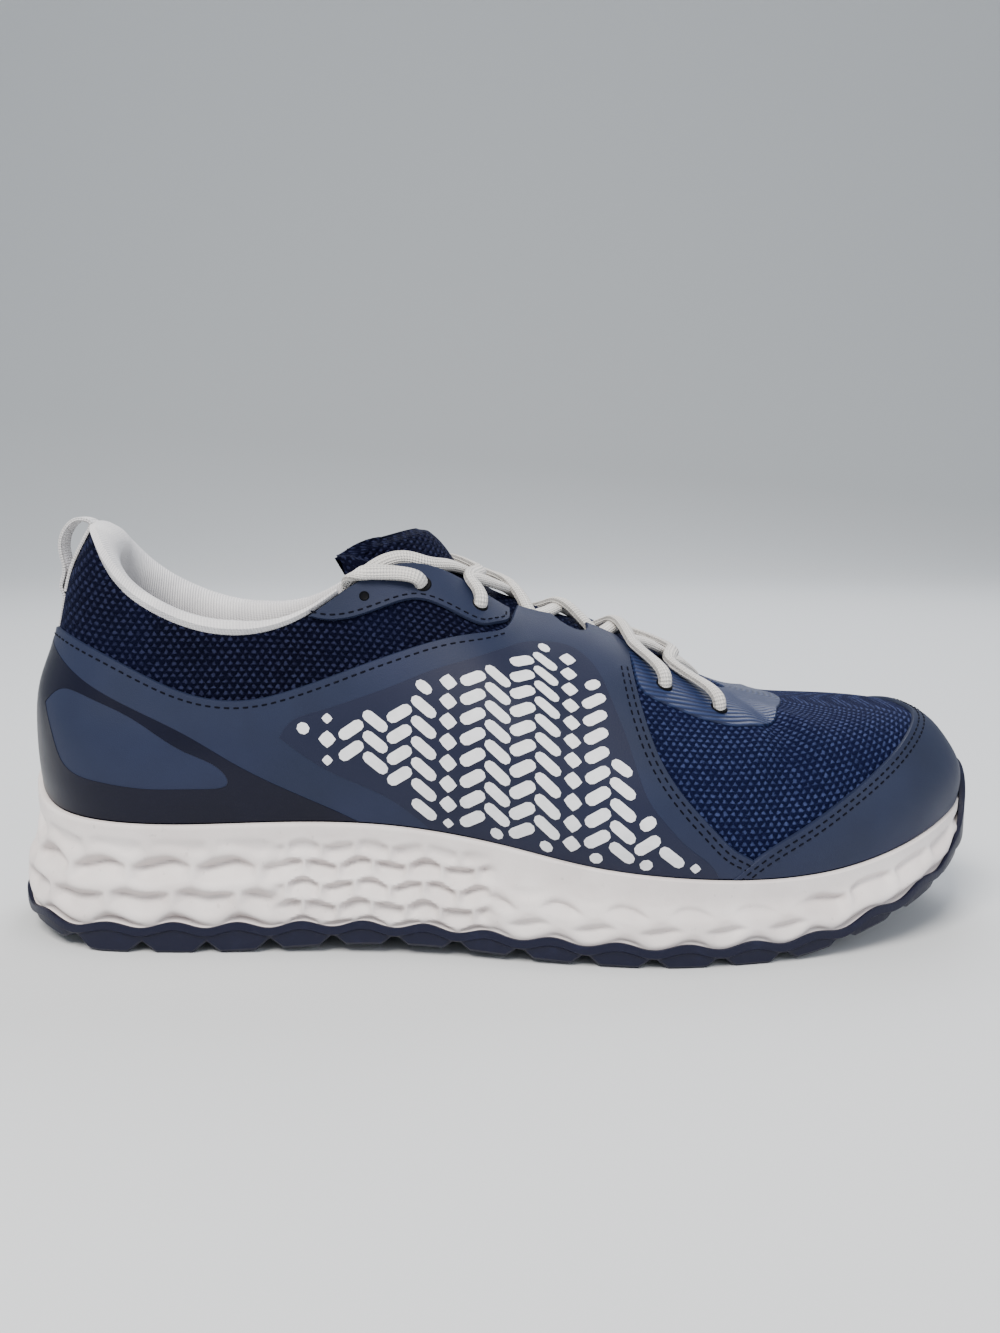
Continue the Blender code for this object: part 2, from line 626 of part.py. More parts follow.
def make_collar():
    """The padded collar: a roll on the topline and a lining inside, open at the throat."""
    end = u_where_edge_is(COLLAR_END)
    step = 2 / AROUND_UPPER
    reach = int(end / step)
    places = [-end] + [i * step for i in range(-reach, reach + 1)] + [end]
    points = []
    for u in places:
        pad = collar_pad_at(u)
        inside = UPPER_WALL + 2 * SEAT_GAP
        edge, normal = upper_point(u, 1.0), upper_normal(u, 0.97)
        up = unit(edge - upper_point(u, 0.94))
        roll = COLLAR_ROLL * min(1.0, pad / COLLAR_PAD + 0.3)
        points += [
            lifted(u, UPPER_LEVELS[-4], -inside),
            lifted(u, UPPER_LEVELS[-3], -inside),
            lifted(u, UPPER_LEVELS[-2], -inside),
            edge - normal * (inside + SEAT_GAP) - up * SEAT_GAP,
            edge - normal * (inside + SEAT_GAP) + up * 2 * SEAT_GAP,
            edge + up * 2 * SEAT_GAP,
            edge + up * (SEAT_GAP + 0.7 * roll) + normal * 0.0002,
            edge + up * (SEAT_GAP + roll) - normal * inside * 0.6,
            edge + up * (SEAT_GAP + 0.75 * roll) - normal * (inside + 0.6 * pad),
            edge - up * 0.6 * roll - normal * (inside + pad),
            lifted(u, UPPER_LEVELS[-3], -inside - 0.9 * pad),
        ]
    count = len(points) // len(places)
    faces = ring_faces(len(places), count)
    faces.append(tuple(range(count)))
    faces.append(tuple(range(len(points) - count, len(points))))
    return new_mesh("collar", points, faces, WHITE, 0.8)


tongue_curve = spline([row.station for row in TONGUE], [row[2:] for row in TONGUE])


def tongue_centre(station):
    values = tongue_curve(station)
    return np.array([values[0] * SHOE_LENGTH, 0.0, values[1] * INSTEP_HEIGHT])


def tongue_normal(station):
    along = tongue_centre(station + 0.02) - tongue_centre(station - 0.02)
    return unit(np.array([-along[2], 0.0, along[0]]) * (-1 if along[0] < 0 else 1))


def tongue_side(station, level, side):
    """The tongue's side against the inside of the upper, or above it past the top eyelets."""
    above = max(station - TONGUE_FREE, 0.0)
    held = min(station, TONGUE_FREE)
    u = u_where_edge_is(tongue_curve(held)[2])
    point = lifted(u, level, -TONGUE_DEPTH)
    free = tongue_centre(station) - tongue_centre(held)
    point += free * TONGUE_FOLLOW if above else 0.0
    point[1] *= -side
    return point


def make_tongue():
    """The padded tongue: under the throat, wrapped round the instep, and free at its top."""
    stations = np.linspace(0.0, TONGUE[-1].station, AROUND_TONGUE)
    points = []
    for station in stations:
        centre = tongue_centre(station)
        left, right = tongue_side(station, 0.985, 1), tongue_side(station, 0.985, -1)
        base, half = (left + right) / 2, abs(left[1]) - TONGUE_CLEAR
        row = [tongue_side(station, level, 1) for level in (0.86, 0.93, 0.985)]
        for k in range(TONGUE_ACROSS + 1):
            angle = math.pi * (k / TONGUE_ACROSS - 0.5)
            point = base + (centre - base) * math.cos(angle) ** 1.2
            point[1] = -half * math.sin(angle)
            row.append(point)
        row += [tongue_side(station, level, -1) for level in (0.985, 0.93, 0.86)]
        points += row
    count = TONGUE_ACROSS + 7
    faces = ring_faces(len(stations), count, closed=False)
    sheet = new_mesh("tongue", points, faces, NAVY, 0.85, closed=False)
    return solidify(sheet, TONGUE_WALL, -1, even=False)


def sweep(path, across, width, thickness, sides=6):
    """A flat band along a path: rings of an ellipse, across gives its flat direction."""
    rings = []
    for k, point in enumerate(path):
        along = unit(path[min(k + 1, len(path) - 1)] - path[max(k - 1, 0)])
        flat = unit(across[k] - np.dot(across[k], along) * along)
        up = np.cross(along, flat)
        for i in range(sides):
            angle = 2 * math.pi * (i + 0.5) / sides
            sideways, upwards = math.cos(angle) * width / 2, math.sin(angle) * thickness / 2
            rings.append(point + flat * sideways + up * upwards)
    faces = ring_faces(len(path), sides)
    faces.append(tuple(range(sides)))
    faces.append(tuple(range((len(path) - 1) * sides, len(path) * sides)))
    return rings, faces


def lace_path(start, end, hump):
    """From one eyelet over the throat to another: shares of the length, and the hump's height."""
    clear = PANEL_LIFT + OVERLAY_WALL + LACE_CLEAR + LACE_THICKNESS / 2
    marks = []
    for share, side in ((start, 1), (end, -1)):
        u = u_where_edge_is(share)
        for level in (EYELET_LEVEL, 0.995):
            point = lifted(u, level, clear)
            point[1] *= side
            marks.append(point)
    station = tongue_station((start + end) / 2)
    top = tongue_centre(station) + tongue_normal(station) * (SEAT_GAP + LACE_THICKNESS * hump)
    top[2] = max(top[2], marks[1][2], marks[3][2])
    knots = [0.0, 0.16, 0.5, 0.84, 1.0]
    curve = spline(knots, [marks[0], marks[1], top, marks[3], marks[2]])
    return [curve(t) for t in np.linspace(0, 1, LACE_STEPS)]


def tongue_station(edge_share):
    low, high = 0.0, TONGUE[-1].station
    for _ in range(30):
        middle = (low + high) / 2
        if tongue_curve(middle)[2] > edge_share:
            low = middle
        else:
            high = middle
    return low


def lace_band(name, start, end, hump):
    path = lace_path(start, end, hump)
    normal = tongue_normal(tongue_station((start + end) / 2))
    flat = unit(np.cross(normal, path[-1] - path[0]))
    points, faces = sweep(path, [flat] * len(path), LACE_WIDTH, LACE_THICKNESS)
    return new_mesh(name, points, faces, WHITE, 0.8)


def make_laces():
    """The lacing over the tongue: a bar at the front, and crossings joined in the middle."""
    beside = (LACE_SPREAD * LACE_WIDTH + SEAT_GAP) / SHOE_LENGTH
    laces = [lace_band("lace_bar", EYELET_AT[-1] + beside, EYELET_AT[-1] + beside, 0.9)]
    for number, (back, front) in enumerate(zip(EYELET_AT, EYELET_AT[1:]), 1):
        start, end = back + beside, front - beside
        under = lace_band(f"lace_crossing_{number}", start, end, 1.0)
        over = as_cutter(lace_band(f"lace_over_{number}", end, start, 1.12))
        laces.append(combine(under, over, "UNION"))
    return laces


def make_pull_loop():
    """The ribbon at the heel: up the outside, over in a loop, and down behind the collar."""
    path = []
    curve = spline([p.share for p in LOOP], [(p.x, p.z) for p in LOOP])
    for t in np.linspace(0, 1, 15):
        x, z = curve(t)
        path.append(np.array([x * SHOE_LENGTH, 0.0, z * HEEL_HEIGHT]))
    across = [np.array([0.0, 1.0, 0.0])] * len(path)
    points, faces = sweep(path, across, LOOP_WIDTH, LOOP_THICKNESS)
    return new_mesh("pull_loop", points, faces, WHITE, 0.8)


def objects():
    return [
        make_outsole(),
        make_midsole(),
        make_insole(),
        make_upper(),
        make_collar(),
        make_tongue(),
        make_overlay("quarter_panel", QUARTER_PANEL, INSTEP_HEIGHT, OVERLAY_WALL, SLATE, 0.5),
        make_overlay("toe_cap", TOE_CAP, TOE_HEIGHT, OVERLAY_WALL, SLATE, 0.5),
        make_overlay("eyestay_lateral", EYESTAY, INSTEP_HEIGHT, OVERLAY_WALL, SLATE, 0.5, side=-1),
        make_overlay("eyestay_medial", EYESTAY, INSTEP_HEIGHT, OVERLAY_WALL, SLATE, 0.5, side=1),
        make_overlay("vamp_film", VAMP_FILM, TOE_HEIGHT, FILM_WALL, FILM_BLUE, 0.4),
        make_pull_loop(),
    ] + make_laces()


def main():
    for old in list(bpy.data.objects):
        bpy.data.objects.remove(old)
    parts = bpy.data.collections.new("turf_shoe")
    tools = bpy.data.collections.new("cutters")
    bpy.context.scene.collection.children.link(parts)
    bpy.context.scene.collection.children.link(tools)
    frame = bpy.data.objects.new("shoe_frame", None)
    frame.location = (-SHOE_LENGTH / 2, 0, 0)
    parts.objects.link(frame)
    for piece in objects():
        parts.objects.link(piece)
        piece.parent = frame
    for cutter in cutters:
        tools.objects.link(cutter)
        cutter.parent = frame


main()
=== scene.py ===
import math

import bmesh
import bpy
import numpy as np
from mathutils import Matrix, Vector
from mathutils.geometry import delaunay_2d_cdt


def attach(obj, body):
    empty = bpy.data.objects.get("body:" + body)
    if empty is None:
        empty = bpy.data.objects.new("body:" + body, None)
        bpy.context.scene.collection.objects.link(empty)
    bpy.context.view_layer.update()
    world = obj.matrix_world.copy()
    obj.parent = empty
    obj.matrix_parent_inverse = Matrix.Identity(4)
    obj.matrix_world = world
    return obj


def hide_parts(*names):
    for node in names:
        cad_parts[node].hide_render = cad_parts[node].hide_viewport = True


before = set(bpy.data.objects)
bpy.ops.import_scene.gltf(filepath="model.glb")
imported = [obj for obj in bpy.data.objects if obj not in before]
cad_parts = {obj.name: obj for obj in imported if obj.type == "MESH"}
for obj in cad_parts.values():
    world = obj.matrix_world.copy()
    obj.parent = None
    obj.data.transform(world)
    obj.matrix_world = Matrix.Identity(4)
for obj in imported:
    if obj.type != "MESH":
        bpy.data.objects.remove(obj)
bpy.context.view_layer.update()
mm = 0.001

# the last: the same sizes and tables as the solids, metres, x from the heel
shoe = dict(length=0.300, halfBall=0.04975, heelStack=0.0375, heelHeight=0.1205,
            instepHeight=0.1115, toeHeight=0.0710, wall=0.0022, gap=0.0003)
heel, instep, toe = shoe["heelHeight"], shoe["instepHeight"], shoe["toeHeight"]

# x, lateral, medial, rim, edgeX, edgeHalf, edgeZ, height that edgeZ is a share of
ribs = [
    (0.023, 0.00, 0.00, 1.25, 0.080, 0.000, 1.000, heel),
    (0.040, 0.36, 0.36, 1.11, 0.089, 0.250, 0.972, heel),
    (0.080, 0.59, 0.59, 1.03, 0.112, 0.410, 0.890, heel),
    (0.150, 0.68, 0.68, 0.99, 0.157, 0.530, 0.808, heel),
    (0.240, 0.70, 0.68, 1.00, 0.228, 0.590, 0.758, heel),
    (0.333, 0.72, 0.65, 1.01, 0.307, 0.590, 0.808, heel),
    (0.387, 0.75, 0.65, 0.99, 0.352, 0.540, 0.955, instep),
    (0.443, 0.80, 0.68, 0.94, 0.397, 0.440, 1.000, instep),
    (0.503, 0.88, 0.75, 0.86, 0.445, 0.360, 0.962, instep),
    (0.567, 0.95, 0.85, 0.75, 0.503, 0.290, 0.868, instep),
    (0.647, 1.00, 0.96, 0.67, 0.580, 0.260, 0.812, instep),
    (0.727, 0.95, 1.00, 0.62, 0.643, 0.240, 1.160, toe),
    (0.807, 0.85, 0.965, 0.64, 0.693, 0.200, 1.060, toe),
    (0.887, 0.66, 0.86, 0.76, 0.718, 0.130, 1.014, toe),
    (0.943, 0.415, 0.625, 0.89, 0.725, 0.065, 1.003, toe),
    (0.972, 0.185, 0.395, 0.965, 0.7265, 0.030, 1.001, toe),
    (0.982, -0.105, 0.105, 1.00, 0.727, 0.000, 1.000, toe),
]
# level, then (way in, way up) at the heel, ankle, ball, toe side and toe
profileAt = (0.0, 0.28, 0.68, 0.87, 1.0)
levels = [
    (0.00, (0.00, 0.00), (0.00, 0.00), (0.00, 0.00), (0.00, 0.00), (0.00, 0.00)),
    (0.14, (-0.01, 0.13), (-0.20, 0.13), (-0.04, 0.16), (-0.02, 0.25), (0.00, 0.25)),
    (0.28, (0.02, 0.29), (-0.30, 0.28), (0.01, 0.34), (0.03, 0.50), (0.06, 0.50)),
    (0.42, (0.12, 0.42), (-0.20, 0.43), (0.12, 0.51), (0.13, 0.73), (0.16, 0.76)),
    (0.56, (0.36, 0.57), (0.05, 0.57), (0.28, 0.67), (0.29, 0.86), (0.32, 0.89)),
    (0.70, (0.50, 0.73), (0.35, 0.71), (0.50, 0.81), (0.51, 0.91), (0.52, 0.915)),
    (0.85, (0.67, 0.86), (0.70, 0.86), (0.76, 0.92), (0.77, 0.94), (0.78, 0.94)),
    (1.00, (1.00, 1.00), (1.00, 1.00), (1.00, 1.00), (1.00, 1.00), (1.00, 1.00)),
]
# x, where the lugs end, the scalloped line, the footbed
soleRows = [
    (0.00, 0.160, 0.285, 0.76), (0.05, 0.090, 0.225, 0.76), (0.10, 0.000, 0.215, 0.75),
    (0.15, -0.010, 0.220, 0.75), (0.20, 0.000, 0.222, 0.75), (0.27, 0.030, 0.225, 0.74),
    (0.36, 0.075, 0.240, 0.71), (0.45, 0.065, 0.220, 0.65), (0.55, 0.020, 0.185, 0.54),
    (0.63, 0.000, 0.165, 0.45), (0.70, -0.010, 0.158, 0.41), (0.76, 0.010, 0.170, 0.40),
    (0.81, 0.090, 0.220, 0.42), (0.85, 0.185, 0.315, 0.48), (0.90, 0.310, 0.440, 0.58),
    (0.94, 0.430, 0.565, 0.69), (0.97, 0.540, 0.680, 0.78), (1.00, 0.670, 0.820, 0.90),
]
# station, x, z, x of the throat's side
tongueRows = [
    (0, 0.742, 0.592, 0.7200), (1, 0.712, 0.622, 0.7030), (2, 0.655, 0.738, 0.6480),
    (3, 0.597, 0.806, 0.5880), (4, 0.535, 0.862, 0.5240), (5, 0.488, 0.908, 0.4740),
    (6, 0.461, 0.948, 0.4320), (7, 0.446, 0.994, 0.3930), (8, 0.431, 1.048, 0.3650),
    (9, 0.410, 1.094, 0.3480),
]


def curveThrough(knots, values, closed=False):
    # a smooth curve; at(t) takes one place or an array of them
    x, y = np.asarray(knots, float), np.asarray(values, float)
    n, h = len(x), np.diff(x)
    slope = np.diff(y, axis=0) / h.reshape((-1,) + (1,) * (y.ndim - 1))
    a, b = np.zeros((n, n)), np.zeros_like(y)
    for i in range(1, n - 1):
        a[i, i - 1:i + 2] = h[i - 1], 2 * (h[i - 1] + h[i]), h[i]
        b[i] = 6 * (slope[i] - slope[i - 1])
    a[0, 0] = a[-1, -1] = 1
    if closed:
        a[0, -1] = -1
        a[-1, 0], a[-1, 1], a[-1, -2], a[-1, -1] = 2 * h[0], h[0], h[-1], 2 * h[-1]
        b[-1] = 6 * (slope[0] - slope[-1])
    bend = np.linalg.solve(a, b.reshape(n, -1)).reshape(y.shape)

    def at(t):
        t = np.asarray(t, float)
        t = x[0] + (t - x[0]) % (x[-1] - x[0]) if closed else np.clip(t, x[0], x[-1])
        i = np.clip(np.searchsorted(x, t, side="right") - 1, 0, n - 2)
        shape = i.shape + (1,) * (y.ndim - 1)
        left, right = ((x[i + 1] - t) / h[i]).reshape(shape), ((t - x[i]) / h[i]).reshape(shape)
        cubic = (left**3 - left) * bend[i] + (right**3 - right) * bend[i + 1]
        return left * y[i] + right * y[i + 1] + cubic * (h[i] ** 2).reshape(shape) / 6

    return at


def smoothStep(low, high, value):
    share = np.clip((value - low) / (high - low), 0, 1)
    return share * share * (3 - 2 * share)


def unit(v):
    return v / np.maximum(np.linalg.norm(v, axis=-1, keepdims=True), 1e-12)


def runLength(points):
    # how far along a line each of its points lies
    return np.concatenate([[0], np.cumsum(np.linalg.norm(np.diff(points, axis=0), axis=1))])


def runAcross(rows):
    # how far along its own row each point of a grid lies
    steps = np.linalg.norm(np.diff(rows, axis=1), axis=-1)
    return np.concatenate([np.zeros((len(rows), 1)), np.cumsum(steps, 1)], 1)


# u runs 0 at the heel, along the lateral side to 1 at the toe, and back medially to 2
planSteps = [math.dist((a[0] * shoe["length"], a[1] * shoe["halfBall"]),
                       (b[0] * shoe["length"], b[1] * shoe["halfBall"]))
             for a, b in zip(ribs, ribs[1:])]
ribKnots = np.concatenate([[0.0], np.cumsum(planSteps) / sum(planSteps)])


def loopCurve(make):
    # a closed curve: up the lateral side (-y), then down the medial one (+y)
    lateral, medial = [make(r, -1) for r in ribs], [make(r, 1) for r in ribs]
    knots = list(ribKnots) + [2 - k for k in ribKnots[-2::-1]]
    return curveThrough(knots, lateral + medial[-2::-1], closed=True)


def rimOf(r, side):
    half = r[1] if side < 0 else r[2]
    return ((r[0] - 0.5) * shoe["length"], side * half * shoe["halfBall"], r[3] * shoe["heelStack"])


def edgeOf(r, side):
    return ((r[4] - 0.5) * shoe["length"], side * r[5] * shoe["halfBall"], r[6] * r[7])


rimCurve, edgeCurve = loopCurve(rimOf), loopCurve(edgeOf)
soleCurve = curveThrough([p[0] for p in soleRows], [p[1:] for p in soleRows])


def soleHeights(x):
    # lug ends, scalloped line and footbed at a world x
    rows = soleCurve(x / shoe["length"] + 0.5) * shoe["heelStack"]
    return np.maximum(rows[..., 0], 0), rows[..., 1], rows[..., 2]


def planOutset(u, outset):
    # the rim curve moved out in plan
    along = rimCurve(u + 1e-3) - rimCurve(u - 1e-3)
    out = unit(np.stack([along[..., 1], -along[..., 0], 0 * along[..., 0]], -1))
    return rimCurve(u) + np.asarray(outset)[..., None] * out


def toeNearness(u, reach):
    return 1 - smoothStep(0.0, reach, abs(np.mod(u, 2) - 1))


def heelNearness(u, reach):
    t = np.mod(u, 2)
    return 1 - smoothStep(0.0, reach, np.minimum(t, 2 - t))


# the skin: the outer face of the upper, tabled once and read by every piece on it
# soft flex folds: u, level, half length, half width (mm), height (mm), turn (degrees)
folds = [
    (0.762, 0.52, 22, 5.0, -2.00, 62), (0.800, 0.56, 20, 5.0, 1.20, 58),
    (0.722, 0.46, 18, 4.5, 0.90, 60), (1.255, 0.50, 20, 5.0, -1.60, -62),
    (1.218, 0.58, 18, 4.5, 1.00, -58), (1.000, 0.68, 78, 30.0, -3.20, 0),
    (0.335, 0.800, 14, 3.0, -0.45, -25), (0.205, 0.830, 15, 3.2, -0.40, 12),
    (1.790, 0.820, 16, 3.2, -0.45, -12),
    (0.520, 0.560, 18, 5.0, 0.35, 70), (1.500, 0.560, 18, 5.0, 0.35, -70),
]
skinSize = dict(around=1080, up=161, top=1.06)


def makeSkin():
    u = np.arange(skinSize["around"]) * 2 / skinSize["around"]
    s = np.linspace(0, skinSize["top"], skinSize["up"])
    levelCurve = curveThrough([lev[0] for lev in levels], [lev[1:] for lev in levels])
    table = levelCurve(np.minimum(s, 1)).transpose(1, 0, 2)
    t = np.minimum(u, 2 - u)
    shares = curveThrough(profileAt, table)(t)
    rim, edge = rimCurve(u)[:, None], edgeCurve(u)[:, None]
    points = rim + shares[..., :1] * (edge - rim)
    points[..., 2] = rim[..., 2] + shares[..., 1] * (edge[..., 2] - rim[..., 2])
    near = int(round(0.9 / skinSize["top"] * (skinSize["up"] - 1)))
    over = np.maximum(s - 1, 0)[None, :, None]
    points += over * (edge - points[:, near:near + 1]) / (1 - s[near])
    normals = skinNormals(points)
    for fu, fs, half, width, height, turn in folds:
        along, rise = skinScale(points, fu, fs)
        a = (np.mod(u - fu + 1, 2) - 1)[:, None] * along
        b = (s - fs)[None, :] * rise
        c, d = math.cos(math.radians(turn)), math.sin(math.radians(turn))
        run, off = (a * c + b * d) / (half * mm), (-a * d + b * c) / (width * mm)
        points += (height * mm * np.exp(-run**2 - off**2))[..., None] * normals
    return points, skinNormals(points)


def skinNormals(points):
    along = np.roll(points, -1, 0) - np.roll(points, 1, 0)
    return unit(np.cross(along, np.gradient(points, axis=1)))


def skinScale(points, u, s):
    # metres per unit of u and of s near a place
    i = int(np.mod(u, 2) / 2 * skinSize["around"])
    j = int(np.clip(s / skinSize["top"] * (skinSize["up"] - 1), 1, skinSize["up"] - 2))
    n = skinSize["around"]
    along = np.linalg.norm(points[(i + 1) % n, j] - points[i - 1, j]) * n / 4
    rise = np.linalg.norm(points[i, j + 1] - points[i, j - 1]) * (skinSize["up"] - 1) / 2
    return along, rise / skinSize["top"]


skinPoints, skinNormal = makeSkin()
# the way round the section from the rim; cloth coordinates are x and this, in millimetres
skinArc = runAcross(skinPoints)
print("skin", skinPoints.shape)


def readSkin(table, u, s):
    u, s = np.asarray(u, float), np.asarray(s, float)
    a = np.mod(u, 2) / 2 * skinSize["around"]
    b = np.clip(s / skinSize["top"], 0, 1) * (skinSize["up"] - 1)
    i, j = np.floor(a).astype(int), np.minimum(np.floor(b).astype(int), skinSize["up"] - 2)
    fa, fb = a - i, b - j
    i0, i1 = i % skinSize["around"], (i + 1) % skinSize["around"]
    if table.ndim == 3:
        fa, fb = fa[..., None], fb[..., None]
    low = table[i0, j] * (1 - fa) + table[i1, j] * fa
    high = table[i0, j + 1] * (1 - fa) + table[i1, j + 1] * fa
    return low * (1 - fb) + high * fb


def onSkin(u, s, lift=0.0):
    point, normal = readSkin(skinPoints, u, s), unit(readSkin(skinNormal, u, s))
    return point + np.asarray(lift)[..., None] * normal


def clothPlace(u, s):
    return np.stack([readSkin(skinPoints, u, s)[..., 0], readSkin(skinArc, u, s)], -1) * 1000


def uWhereEdgeIs(share):
    # the place on the lateral side where the topline passes a share of the length
    u = np.linspace(0.2, 1.0, 801)
    return float(np.interp((share - 0.5) * shoe["length"], edgeCurve(u)[:, 0], u))


# meshes
sharpAngle = 38


def addPiece(name, points, faces, material, slot, replaced=(), cloth=None, smooth=True):
    mesh = bpy.data.meshes.new(name)
    mesh.from_pydata(np.asarray(points, float).reshape(-1, 3).tolist(), [], faces)
    if cloth is not None:
        layer = mesh.uv_layers.new(name="cloth")
        index = np.zeros(len(mesh.loops), np.int32)
        mesh.loops.foreach_get("vertex_index", index)
        layer.data.foreach_set("uv", np.asarray(cloth, np.float32)[index].ravel())
    work = bmesh.new()
    work.from_mesh(mesh)
    bmesh.ops.remove_doubles(work, verts=work.verts, dist=1e-7)
    bmesh.ops.recalc_face_normals(work, faces=work.faces)
    work.to_mesh(mesh)
    work.free()
    if smooth:
        mesh.shade_smooth()
        mesh.set_sharp_from_angle(angle=math.radians(sharpAngle))
    mesh.materials.append(material)
    piece = bpy.data.objects.new(name, mesh)
    bpy.context.scene.collection.objects.link(piece)
    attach(piece, "root")
    if replaced:
        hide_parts(*replaced)
    return piece


def gridFaces(rows, count, start=0):
    # faces between closed rings of points
    r, c = np.meshgrid(np.arange(rows - 1), np.arange(count), indexing="ij")
    nextOne = (c + 1) % count
    a = start + r * count
    faces = np.stack([a + c, a + nextOne, a + count + nextOne, a + count + c], -1)
    return faces.reshape(-1, 4).tolist()


def ringCap(start, count):
    # closes a ring whose first point is the heel and whose middle one is the toe
    half = count // 2
    faces = [(start, start + 1, start + count - 1)]
    for i in range(1, half - 1):
        faces.append((start + i, start + i + 1, start + count - i - 1, start + count - i))
    faces.append((start + half - 1, start + half, start + half + 1))
    return faces


def tubeFaces(rows, count, start=0):
    # closed rings with a flat face over both ends
    last = start + (rows - 1) * count
    return gridFaces(rows, count, start) + [tuple(range(k, k + count)) for k in (start, last)]


def merged(parts):
    # one mesh out of several: each part is its points and its faces
    points, faces, total = [], [], 0
    for made, added in parts:
        points.append(made)
        faces += [tuple(i + total for i in f) for f in added]
        total += len(made)
    return np.concatenate(points), faces


# materials
def linear(hexColour):
    # sRGB hex to the linear values that nodes take
    parts = [int(hexColour[i:i + 2], 16) / 255 for i in (1, 3, 5)]
    return tuple(c / 12.92 if c <= 0.04045 else ((c + 0.055) / 1.055) ** 2.4 for c in parts) + (1.0,)


def addNode(tree, kind, inputs=(), output=0, **settings):
    # one node with its settings and links, as the output asked for. Inputs are given in their order
    # or by name, and each is a socket, a value or a hex colour
    node = tree.nodes.new("ShaderNode" + kind)
    for key, value in settings.items():
        setattr(node, key, value)
    for key, value in (inputs.items() if isinstance(inputs, dict) else enumerate(inputs)):
        if isinstance(value, bpy.types.NodeSocket):
            tree.links.new(value, node.inputs[key])
        else:
            node.inputs[key].default_value = linear(value) if isinstance(value, str) else value
    return node.outputs[output]


# settings that many nodes share; the inputs of a colour mix are 0 amount, 6 and 7 its colours
times, timesPlus, sine = [{"operation": name} for name in ("MULTIPLY", "MULTIPLY_ADD", "SINE")]
soft = {"interpolation_type": "SMOOTHSTEP"}
mixed = {"output": 2, "data_type": "RGBA"}


def newMaterial(name, **values):
    material = bpy.data.materials.new(name)
    material.use_nodes = True
    tree = material.node_tree
    shader = tree.nodes["Principled BSDF"]
    for key, value in values.items():
        socket = shader.inputs[{"color": "Base Color", "rough": "Roughness", "coat": "Coat Weight",
                                "coatRough": "Coat Roughness", "sheen": "Sheen Weight",
                                "sheenRough": "Sheen Roughness", "sheenTint": "Sheen Tint",
                                "shine": "Specular IOR Level"}[key]]
        socket.default_value = linear(value) if isinstance(value, str) else value
    return material, tree, shader


def feed(tree, shader, **sockets):
    names = {"color": "Base Color", "rough": "Roughness", "normal": "Normal"}
    for key, value in sockets.items():
        tree.links.new(value, shader.inputs[names[key]])


def unevenness(tree, perMetre, detail=4.0, rough=0.55, between=None):
    # noise over the whole shoe, or soft patches where it lies between two values
    place = addNode(tree, "TexCoord", output="Object")
    spots = addNode(tree, "TexNoise", {"Vector": place, "Scale": perMetre, "Detail": detail,
                                       "Roughness": rough})
    return addNode(tree, "MapRange", (spots, *between), **soft) if between else spots


def diagonals(tree, pitch, stretch=1.0, place=None):
    # two slanting waves over the cloth coordinates, which are millimetres
    place = place or addNode(tree, "UVMap", uv_map="cloth")
    along, across = [addNode(tree, "SeparateXYZ", (place,), k) for k in (0, 1)]
    across = addNode(tree, "Math", (across, stretch), **times)
    both = [addNode(tree, "Math", (along, across), operation=name) for name in ("ADD", "SUBTRACT")]
    turns = [addNode(tree, "Math", (slant, math.pi / pitch), **times) for slant in both]
    return [addNode(tree, "Math", (turn,), **sine) for turn in turns]


def ribbing(tree, pitch, direction):
    # upright ridges along one direction of the cloth coordinates
    place = addNode(tree, "SeparateXYZ", (addNode(tree, "UVMap", uv_map="cloth"),), direction)
    turn = addNode(tree, "Math", (place, 2 * math.pi / pitch), **times)
    return addNode(tree, "Math", (turn,), **sine)


def jittered(tree, amount):
    # cloth coordinates in millimetres, wandering a little so that no row runs dead straight
    place = addNode(tree, "UVMap", uv_map="cloth")
    wander = addNode(tree, "TexNoise", {"Vector": addNode(tree, "TexCoord", output="Object"),
                                        "Scale": 900.0, "Detail": 1.0}, 1)
    centred = addNode(tree, "VectorMath", (wander, (0.5, 0.5, 0.5)), operation="SUBTRACT")
    moved = addNode(tree, "VectorMath", {0: centred, "Scale": amount}, operation="SCALE")
    return addNode(tree, "VectorMath", (place, moved), operation="ADD")


